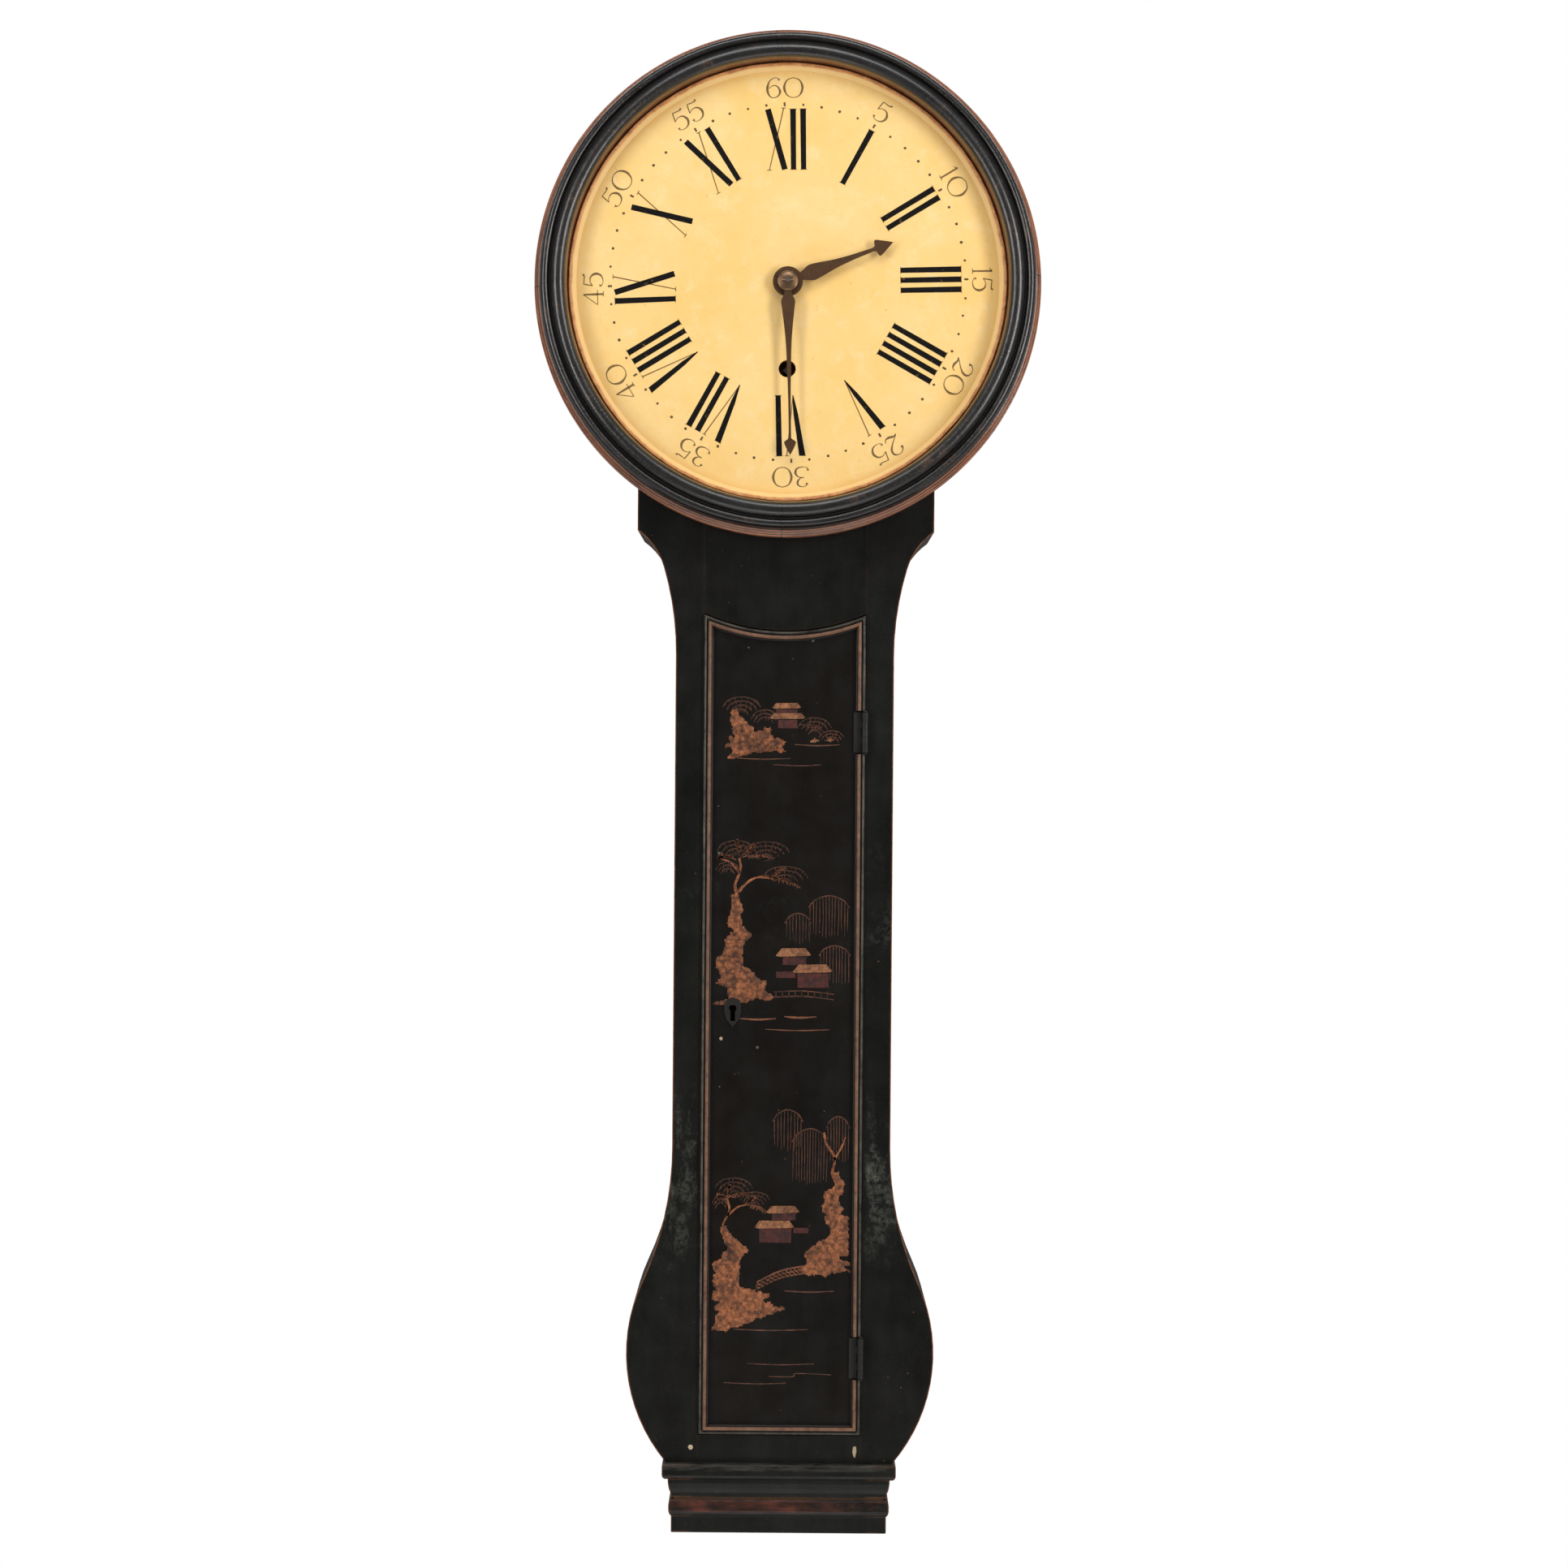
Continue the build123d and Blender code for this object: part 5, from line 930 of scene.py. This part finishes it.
def door_moulding_piece(name, side):
    lines = [door_line(i, side) for i, _ in M_PROF]
    n, k = len(lines[0]), len(M_PROF)
    verts, faces = [], []
    keep = []
    for i in range(n):
        hmid = lines[0][i][1]
        keep.append(not (side == "right" and any(abs(hmid - c) < HINGE_LEN / 2 + 1.0 for c in HINGE_H)))
        for j in range(k):
            x, h = lines[j][i]
            w = noise.noise(Vector((x * 0.05, h * 0.05, j * 0.4))) * 0.14 + noise.noise(Vector((x * 0.3, h * 0.3, j))) * 0.07
            verts.append(P(x, h, M_PROF[j][1] + (w if 0 < j < k - 1 else 0)))
    run = [i for i in range(n) if keep[i]]
    groups = []
    for i in run:
        if groups and groups[-1][-1] == i - 1:
            groups[-1].append(i)
        else:
            groups.append([i])
    for g in groups:
        if len(g) < 2:
            continue
        for i in g[:-1]:
            for j in range(k):
                a, b = i * k + j, i * k + (j + 1) % k
                faces.append((a, b, b + k, a + k))
        faces += [tuple(g[0] * k + j for j in range(k)), tuple(g[-1] * k + j for j in reversed(range(k)))]
    used = sorted({i for f in faces for i in f})
    idx = {u: i for i, u in enumerate(used)}
    o = obj(name, [verts[u] for u in used], [tuple(idx[i] for i in f) for f in faces], MOULD_BANDS, "trunk_door", angle=50)
    return o


def mould_bands():
    """Gilt bead between a black quirk and a rubbed grey lip, by the distance in from the door's edge."""
    m = Mat("door_moulding_bands")
    a = m.attr("inset")
    n = m.noise(90, 6, 0.7)
    gold = m.mix(m.ramp(n, 0.3, 0.7), srgb(92, 64, 48), srgb(140, 102, 76))
    red = m.ramp(m.noise(150, 5, 0.7), 0.5, 0.68)
    gold = m.mix(m.math("MULTIPLY", red, 0.7), gold, srgb(92, 50, 34))
    worn = m.ramp(m.noise(28, 6, 0.7), 0.48, 0.70)
    gold = m.mix(m.math("MULTIPLY", worn, 0.55), gold, srgb(58, 44, 36))
    lip = m.mix(m.ramp(m.noise(60, 6, 0.75), 0.36, 0.62), srgb(26, 25, 22), srgb(84, 80, 70))
    black = m.mix(m.noise(60, 4), srgb(15, 12, 10), srgb(24, 19, 15))
    is_bead = m.math("MULTIPLY", m.ramp(a, 4.0, 4.5), m.ramp(a, 7.8, 7.3))
    is_lip = m.math("MULTIPLY", m.ramp(a, 2.9, 2.4), m.ramp(a, 0.0, 0.6))
    col = m.mix(is_lip, black, lip)
    col = m.mix(is_bead, col, gold)
    h = add(m, m.math("MULTIPLY", m.noise(280, 4, 0.65), 0.6), m.math("MULTIPLY", n, 0.5))
    m.set(Base_Color=col, Roughness=m.ramp(n, 0.3, 0.7, 0.36, 0.56), Normal=m.bump(h, 0.35, 0.0004))
    m.b.inputs["Metallic"].default_value = 0.12
    return m


MOULD_BANDS = mould_bands()
for side in ("top", "right", "bottom", "left"):
    o = door_moulding_piece(f"door_moulding_{side}", side)
    vals = []
    for v in o.data.vertices:
        x, h = v.co.x / MM, (v.co.z - ZD) / MM
        if side == "top":
            vals.append(math.hypot(x, h - DOOR_C) - DOOR_R)
        elif side == "bottom":
            vals.append(h - BOTTOM)
        else:
            vals.append(DOOR_HW - abs(x))
    at = o.data.attributes.new("inset", "FLOAT", "POINT")
    at.data.foreach_set("value", vals)
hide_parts("door_moulding")


# ------------------------------------------------------------------ door decoration: an invented shore, rocks and willows
PD = 150.0  # door face
rnd = random.Random(29)


def heap(points, d_max, seed, step=1.1):
    """A raised rock mass inside an outline of (x, h): a lumpy cushion of small facets that falls to the face at its rim."""
    poly = catmull(points + [points[0]], 5)
    xs, hs = [p_[0] for p_ in poly], [p_[1] for p_ in poly]

    def dist_in(x, h):
        inside, best = False, 1e9
        for i in range(len(poly) - 1):
            (x0, h0), (x1, h1) = poly[i], poly[i + 1]
            if (h0 > h) != (h1 > h) and x < (x1 - x0) * (h - h0) / (h1 - h0) + x0:
                inside = not inside
            dx, dh = x1 - x0, h1 - h0
            t = max(0, min(1, ((x - x0) * dx + (h - h0) * dh) / (dx * dx + dh * dh + 1e-9)))
            best = min(best, math.hypot(x - x0 - t * dx, h - h0 - t * dh))
        return best if inside else -best

    nx, nh = int((max(xs) - min(xs)) / step) + 2, int((max(hs) - min(hs)) / step) + 2
    bm = bmesh.new()
    grid = {}
    for i in range(nx + 1):
        for j in range(nh + 1):
            x = min(xs) - step / 2 + i * step
            h = min(hs) - step / 2 + j * step
            din = dist_in(x, h) + 2.6 * noise.noise(Vector((x * 0.13, h * 0.13, seed + 4))) + 1.3 * noise.noise(Vector((x * 0.42, h * 0.42, seed + 2)))
            if din < -step * 0.9:
                continue
            if din < 0:
                lift = 0.0
            else:
                lump = 0.9 - 1.1 * abs(noise.noise(Vector((x * 0.17, h * 0.13, seed)))) - 0.8 * abs(noise.noise(Vector((x * 0.42, h * 0.36, seed + 9))))
                lift = min(1.0, (din / 3.2)) ** 0.6 * d_max * max(0.25, lump)
            grid[i, j] = (x, h, lift)
    verts, faces, idx = [], [], {}
    for key, (x, h, lift) in grid.items():
        idx[key] = len(verts)
        verts.append(P(x, h, PD + 0.02 + lift))
    nf = len(verts)
    for key, (x, h, lift) in grid.items():
        verts.append(P(x, h, PD + 0.005))
    for (i, j) in grid:
        ks = [(i, j), (i + 1, j), (i + 1, j + 1), (i, j + 1)]
        if all(k in idx for k in ks):
            q = [idx[k] for k in ks]
            faces.append(tuple(q))
            faces.append(tuple(nf + a for a in reversed(q)))
    # close the rim
    count = {}
    for f in faces[::2]:
        for a, b in zip(f, f[1:] + f[:1]):
            count[(a, b)] = 1
    for (a, b) in list(count):
        if (b, a) not in count:
            faces.append((a, nf + a, nf + b, b))
    used = sorted({i for f in faces for i in f})
    m2 = {u: i for i, u in enumerate(used)}
    return [verts[u] for u in used], [tuple(m2[i] for i in f) for f in faces]


def crag(spine, d_max, seed, jag=0.34, step=1.1):
    """A leaning rock from a spine of (x, h, half width), with a ragged outline."""
    line = catmull(spine, 4)
    left, right = [], []
    for i, (x, h, w) in enumerate(line):
        a, b = line[max(0, i - 1)], line[min(len(line) - 1, i + 1)]
        tx, th = b[0] - a[0], b[1] - a[1]
        ln = math.hypot(tx, th) or 1
        nx, nh = -th / ln, tx / ln
        wl = w * (1 + jag * noise.noise(Vector((i * 0.55, seed, 0))) * 2)
        wr = w * (1 + jag * noise.noise(Vector((i * 0.55, seed + 50, 0))) * 2)
        left.append((max(-63.5, min(63.5, x + nx * wl)), h + nh * wl * 0.5))
        right.append((max(-63.5, min(63.5, x - nx * wr)), h - nh * wr * 0.5))
    return heap(left + right[::-1], d_max, seed, step)


def strokes(list_, lift=0.12, per=6):
    return join([ribbon([(x, h, w * 1.55 if w < 2 else w) for x, h, w in s], PD + 0.02, PD + 0.02 + lift, per, 0.22, rnd) for s in list_])


def door_piece(name, vf, mat, smooth=True):
    return obj(name, vf[0], vf[1], mat, "trunk_door", smooth=smooth, angle=60)


def frond(x, h, ang, length, droop, width=0.5, leaves=7):
    """A hanging or spreading branch with short leaf strokes."""
    out, pts = [], []
    for i in range(6):
        t = i / 5
        px = x + math.cos(ang) * length * t
        ph = h + math.sin(ang) * length * t - droop * t * t
        pts.append((px, ph, width * (1.2 - 0.8 * t)))
    out.append(pts)
    for i in range(leaves):
        t = 0.25 + 0.75 * i / leaves
        px = x + math.cos(ang) * length * t
        ph = h + math.sin(ang) * length * t - droop * t * t
        for s in (1, -1):
            a = ang - math.pi / 2 + s * 0.5 + rnd.uniform(-0.2, 0.2)
            ln = rnd.uniform(2.2, 4.4)
            out.append([(px, ph, 0.5), (px + math.cos(a) * ln * 0.5, ph + math.sin(a) * ln * 0.5, 0.6), (px + math.cos(a) * ln, ph + math.sin(a) * ln, 0.25)])
    return out


def canopy(x, h, w, ht, rings=4, combs=9):
    """A spreading crown: nested arches with short combed strokes hanging from each."""
    out = []
    for q in range(rings):
        k = 1 - q * 0.24
        arch = []
        for i in range(9):
            t = math.pi * (0.06 + 0.88 * i / 8)
            arch.append((x - math.cos(t) * w * k + rnd.uniform(-.3, .3), h + math.sin(t) * ht * k - q * 1.4, 0.45))
        out.append(arch)
        for i in range(combs):
            t = math.pi * (0.08 + 0.84 * (i + rnd.uniform(-.25, .25)) / (combs - 1))
            px, ph = x - math.cos(t) * w * k, h + math.sin(t) * ht * k - q * 1.4
            ln = rnd.uniform(1.8, 3.6)
            out.append([(px, ph, .42), (px - math.cos(t) * ln * .3, ph - ln * .5, .36), (px - math.cos(t) * ln * .5, ph - ln, .2)])
    return out


def palisade(x0, x1, h0, h1, n, bow=2.0):
    """A rounded screen of hanging lines, as a willow or a hill."""
    top = []
    for i in range(9):
        t = i / 8
        top.append((x0 + (x1 - x0) * t, h1 - bow + bow * math.sin(math.pi * t) * 1.6 - (3.0 if i in (0, 8) else 0), 0.7))
    out = [top]
    for i in range(n):
        t = (i + 0.5) / n
        x = x0 + (x1 - x0) * t
        ht = h1 - bow + bow * math.sin(math.pi * t) * 1.6
        hb = h0 + rnd.uniform(-3, 3) + 4 * abs(t - 0.5)
        out.append([(x, ht, 0.35), (x + rnd.uniform(-0.4, 0.4), (ht + hb) / 2, 0.42), (x + rnd.uniform(-0.6, 0.6), hb, 0.25)])
    return out


def roof(x, h, w, t, lean=2.0):
    """A sloped roof panel with turned-up eaves, as a raised plate."""
    return [(x - w / 2 - 1.5, h - t / 2 + 0.8), (x - w / 2 + 1.0, h - t / 2 - 0.2), (x + w / 2 - 1.0, h - t / 2 - 0.2 + lean * 0.2),
            (x + w / 2 + 1.5, h - t / 2 + 0.9 + lean * 0.2), (x + w / 2 - lean, h + t / 2), (x - w / 2 + lean, h + t / 2 - 0.3)]


def plates(outs, lift=0.5):
    return prism(outs, PD + 0.02, PD + 0.02 + lift)


# upper group: a low island with a small tower, on the left
door_piece("upper_rock", join([crag([(-34, -437, 19), (-37, -430, 17), (-34, -422, 14), (-40, -413, 9), (-45, -404, 5), (-47, -396, 2.4)], 1.5, 3.1),
                               crag([(-12, -435, 14), (-13, -429, 11), (-18, -421, 6), (-16, -414, 3)], 1.2, 8.2)]), ROCK)
door_piece("upper_roofs", plates([roof(2, -392, 24, 5.4), roof(3, -401.5, 30, 5.6)], 0.7), ROOF, smooth=False)
door_piece("upper_walls", plates([[(-8, -399), (12, -399), (12, -395.5), (-8, -395.5)], [(-6, -413), (12, -413), (12, -405), (-6, -405)]], 0.3), REDS, smooth=False)
door_piece("upper_branches", strokes(canopy(-40, -394, 17, 10, 4) + canopy(-18, -404, 12, 8, 3, 7) + canopy(28, -412, 15, 9, 4) + canopy(44, -421, 11, 6, 3, 7)
                                     + frond(14, -410, 0.3, 24, 12)), LINES_DARK)
door_piece("upper_water", strokes([[(-44, -441, .5), (-20, -442, .7), (6, -441, .5)], [(10, -428, .5), (30, -429, .8), (52, -428, .5)],
                                   [(-10, -447, .4), (14, -448, .7), (34, -447, .4)]]), LINES_DARK)
door_piece("upper_boats", join([heap([(22, -425), (27, -426.5), (33, -425), (28, -422.5)], 0.9, 7.7, 0.9), heap([(38, -423.5), (43, -425), (48, -423), (43, -421.5)], 0.9, 8.7, 0.9)]), ROOF)

# middle group: a leaning tree on the left bank and a walled garden on the right
door_piece("middle_rock", join([crag([(-34, -668, 26), (-38, -656, 22), (-44, -644, 17), (-50, -630, 11), (-46, -616, 9), (-40, -604, 7.5), (-45, -592, 6), (-42, -580, 4.2), (-46, -568, 3)], 2.0, 12.4)]), ROCK)
door_piece("middle_trunk", strokes([[(-46, -588, 4.0), (-42, -574, 3.2), (-45, -560, 2.8), (-40, -546, 2.2), (-41, -534, 1.6)],
                                    [(-42, -566, 1.8), (-32, -556, 1.4), (-22, -552, 1.0), (-10, -554, 0.7)],
                                    [(-41, -548, 1.4), (-50, -538, 1.1), (-58, -536, 0.7)]], 0.7), ROCK)
fr = []
for x, h, a, ln, dr in ((-40, -534, 0.3, 34, 10), (-40, -534, 0.9, 24, 4), (-41, -532, 1.8, 20, 5), (-44, -536, 2.7, 18, 6),
                        (-10, -554, 0.2, 26, 12), (-14, -553, 0.8, 22, 5), (-26, -553, 0.5, 24, 12), (-56, -536, 2.4, 8, 4)):
    fr += frond(x, h, a, ln, dr, 0.6, 9)
door_piece("middle_branches", strokes(fr), LINES)
door_piece("middle_crowns", strokes(canopy(-44, -528, 17, 10, 4) + canopy(-16, -529, 21, 10, 5, 11) + canopy(2, -552, 20, 10, 4, 11) + canopy(-52, -545, 10, 7, 3, 7)), LINES_DARK)
door_piece("middle_hills", strokes(palisade(24, 62, -606, -572, 13, 5) + palisade(34, 63, -650, -618, 10, 4) + palisade(2, 26, -612, -588, 8, 4)), LINES_DARK)
door_piece("middle_roofs", plates([roof(10, -622, 30, 8, 4), roof(28, -637, 34, 8, 4)], 0.8), ROOF, smooth=False)
door_piece("middle_walls", plates([[(0, -634), (22, -634), (22, -626.4), (0, -626.4)], [(14, -655), (43, -655), (43, -641.6), (14, -641.6)],
                                   [(-6, -646), (12, -646), (12, -640), (-6, -640)]], 0.35), REDS, smooth=False)
door_piece("middle_railing", strokes([[(-8, -664, .7), (20, -663, .8), (48, -666, .6)], [(-8, -659, .6), (20, -658, .7), (48, -661, .6)]]
                                     + [[(x, -658.5, .5), (x, -664, .5)] for x in range(-6, 48, 6)]), LINES_DARK)
door_piece("middle_water", strokes([[(-40, -684, .6), (-24, -685, 1.2), (-6, -684, .6)], [(2, -682, .6), (16, -683, 1.4), (32, -682, .6)],
                                    [(-16, -694, .4), (14, -695, .7), (44, -694, .4)]]), LINES)

# lower group: two facing banks, a rounded willow and a plank bridge
door_piece("lower_rock_right", join([crag([(44, -922, 20), (42, -910, 21), (50, -896, 15), (56, -880, 11), (50, -866, 9), (47, -852, 7), (54, -840, 5), (51, -828, 3)], 2.1, 22.2)]), ROCK)
door_piece("lower_rock_left", join([crag([(-26, -966, 36), (-34, -956, 30), (-44, -944, 21), (-52, -930, 13), (-48, -914, 10), (-42, -902, 8), (-48, -890, 5), (-54, -878, 2.8)], 2.1, 31.3)]), ROCK)
door_piece("lower_trunk", strokes([[(54, -842, 3.4), (48, -828, 2.8), (50, -814, 2.2), (42, -800, 1.8), (40, -790, 1.2)],
                                   [(49, -816, 1.6), (56, -804, 1.2), (60, -794, .8)],
                                   [(-48, -892, 3.0), (-54, -878, 2.4), (-48, -864, 2.0), (-50, -852, 1.4)],
                                   [(-50, -868, 1.4), (-40, -860, 1.1), (-32, -858, .8)]], 0.7), ROCK)
door_piece("lower_willow", strokes(palisade(10, 44, -838, -790, 13, 6) + palisade(42, 64, -818, -778, 8, 5) + palisade(-8, 20, -806, -772, 9, 5)), LINES_DARK)
fr = []
for x, h, a, ln, dr in ((-50, -852, 0.6, 22, 7), (-50, -852, 1.5, 16, 3), (-50, -854, 2.5, 14, 5), (-32, -858, 0.1, 20, 8), (-34, -858, 0.9, 14, 3)):
    fr += frond(x, h, a, ln, dr, 0.6, 8)
door_piece("lower_branches", strokes(fr), LINES)
door_piece("lower_crowns", strokes(canopy(-44, -843, 17, 10, 4) + canopy(-24, -853, 13, 7, 4, 8) + canopy(-56, -856, 7, 6, 3, 6)), LINES_DARK)
door_piece("lower_roofs", plates([roof(2, -862, 28, 7, 3), roof(-6, -876, 34, 7.4, 3)], 0.8), ROOF, smooth=False)
door_piece("lower_walls", plates([[(-8, -872), (14, -872), (14, -865.6), (-8, -865.6)], [(-20, -893), (10, -893), (10, -880), (-20, -880)],
                                  [(12, -884), (26, -884), (26, -879), (12, -879)]], 0.35), REDS, smooth=False)
br = []
for k in range(13):
    t = k / 12
    x = -22 + 46 * t
    h = -934 + 16 * t - 6 * abs(t - 0.5)
    br.append([(x, h, .8), (x + 1.2, h + 7, .7)])
for off in (0, 3.4, 7):
    br.append([(-23 + off * .17, -934 + off - 3, .9), (0 + off * .17, -926 + off, 1.0), (25 + off * .17, -921 + off, .9)])
door_piece("lower_bridge", strokes(br, 0.3, 4), LINES)
door_piece("lower_water", strokes([[(-44, -974, .5), (-10, -975, .8), (26, -974, .5)], [(4, -938, .5), (26, -939, .9), (50, -938, .5)],
                                   [(-30, -1006, .5), (0, -1007, .7), (32, -1006, .4)], [(-10, -1018, .4), (12, -1018, .7), (16, -1015, .5), (48, -1016, .5)],
                                   [(-52, -1024, .4), (-20, -1025, .7), (6, -1024, .5)]]), LINES_DARK)

# small losses and fillings on the door and the case, in pale filler
chips = [(-57, -703, 1.7), (-23, -711, 1.4), (-60, -530, 1.5), (26, -331, 1.4), (-34, -338, 0.9), (-61, -486, .7), (-58, -748, .8), (40, -770, .6)]
v, f = join([blob(x, h, r, PD + 0.01, PD + 0.25, 9, rnd) for x, h, r in chips[:1]])
obj("door_nail", v, f, CHIP, "trunk_door")
v, f = join([blob(x, h, r, PD + 0.01, PD + 0.2, 9, rnd) for x, h, r in chips[1:]])
obj("door_fillings", v, f, FILLER, "trunk_door")
v, f = join([blob(-82.5, -1084.5, 2.4, 150.01, 150.3, 9, rnd),
             prism([[(69.2, -1083), (71.8, -1082.6), (72.4, -1087), (71.0, -1093.5), (69.6, -1092), (68.6, -1088)]], 150.01, 150.18)])
obj("rail_chips", v, f, CHIP, "case")

# ------------------------------------------------------------------ gut line, twisted
def twisted(name, top, bottom, r, body, node, pitch=0.0045, sides=6):
    """Three strands laid round each other between two heights."""
    verts, faces = [], []
    x, y = top[0], top[1]
    length = top[2] - bottom[2]
    n = int(length / pitch * 9)
    for s in range(3):
        k = len(verts)
        for i in range(n + 1):
            t = i / n
            z = top[2] - length * t
            a = 2 * math.pi * (length * t / pitch + s / 3)
            cx, cy = x + 0.46 * r * math.cos(a), y + 0.46 * r * math.sin(a)
            for q in range(sides):
                b = 2 * math.pi * q / sides
                verts.append((cx + 0.52 * r * math.cos(b), cy + 0.52 * r * math.sin(b), z))
        for i in range(n):
            for q in range(sides):
                a, b = k + i * sides + q, k + i * sides + (q + 1) % sides
                faces.append((a, b, b + sides, a + sides))
        faces += [tuple(k + q for q in range(sides)), tuple(k + n * sides + q for q in reversed(range(sides)))]
    o = obj(name, verts, faces, GUT, body)
    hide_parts(node)
    return o


for node, keep, anchor in (("gut_line_running", 130 / 780, -0.270), ("gut_line_fixed", 50 / 700, -0.350)):
    lo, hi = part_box(node)
    c = (lo + hi) / 2
    o = twisted(node.replace("gut_line", "gut_strand"), (c.x, c.y, hi.z), (c.x, c.y, lo.z + 0.0004), (hi.x - lo.x) / 2, "case", node)
    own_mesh(o)

# ------------------------------------------------------------------ stage, lights, camera
def stage_disc():
    me = bpy.data.meshes.new("floor")
    bm = bmesh.new()
    bmesh.ops.create_circle(bm, cap_ends=True, radius=1.7, segments=96)
    bm.to_mesh(me)
    bm.free()
    o = bpy.data.objects.new("floor", me)
    o.location = (0, 0, -1.95)
    scene.collection.objects.link(o)
    m = Mat("pale_floor")
    m.set(Base_Color=m.mix(m.noise(3, 3), (0.80, 0.80, 0.79, 1), (0.86, 0.86, 0.85, 1)), Roughness=0.7)
    me.materials.append(m.m)


stage_disc()


def softbox(name, loc, target, size, power, colour=(1, 1, 1)):
    l = bpy.data.lights.new(name, "AREA")
    l.shape, l.size, l.size_y, l.energy, l.color = "RECTANGLE", size[0], size[1], power, colour
    o = bpy.data.objects.new(name, l)
    o.location = loc
    o.rotation_euler = (Vector(target) - Vector(loc)).to_track_quat("-Z", "Y").to_euler()
    scene.collection.objects.link(o)
    return o


softbox("soft_left", (-2.1, -2.1, -0.15), (0, -0.1, -0.5), (0.65, 2.2), 35, (1, 0.985, 0.96))
softbox("soft_right", (2.1, -2.1, -0.15), (0, -0.1, -0.5), (0.65, 2.2), 50, (1, 0.985, 0.96))
softbox("soft_top", (0, -1.6, 1.5), (0, -0.1, -0.5), (1.8, 1.0), 22)
softbox("soft_low", (0, -0.75, -1.86), (0, -0.15, -0.45), (1.4, 0.3), 2.5)
softbox("soft_back", (0, 2.6, 0.6), (0, 0, -0.7), (2.2, 2.0), 20)

world = bpy.data.worlds.new("studio")
scene.world = world
world.use_nodes = True
wt = world.node_tree
wt.nodes.clear()
out = wt.nodes.new("ShaderNodeOutputWorld")
mixw = wt.nodes.new("ShaderNodeMixShader")
lp = wt.nodes.new("ShaderNodeLightPath")
bg1, bg2 = wt.nodes.new("ShaderNodeBackground"), wt.nodes.new("ShaderNodeBackground")
bg1.inputs[0].default_value, bg1.inputs[1].default_value = (0.95, 0.96, 1.0, 1), 0.16
bg2.inputs[0].default_value, bg2.inputs[1].default_value = (1, 1, 1, 1), 1.0
wt.links.new(lp.outputs["Is Camera Ray"], mixw.inputs[0])
wt.links.new(bg1.outputs[0], mixw.inputs[1])
wt.links.new(bg2.outputs[0], mixw.inputs[2])
wt.links.new(mixw.outputs[0], out.inputs[0])
scene.view_settings.view_transform = "Standard"

cam = bpy.data.cameras.new("camera")
cam.sensor_width, cam.lens = 36.0, 74.3
cam.clip_end = 50
co = bpy.data.objects.new("camera", cam)
co.location = (0.0, -3.170, ZD - 0.465)
co.rotation_euler = (math.radians(90), math.radians(-0.44), 0)
scene.collection.objects.link(co)
scene.camera = co
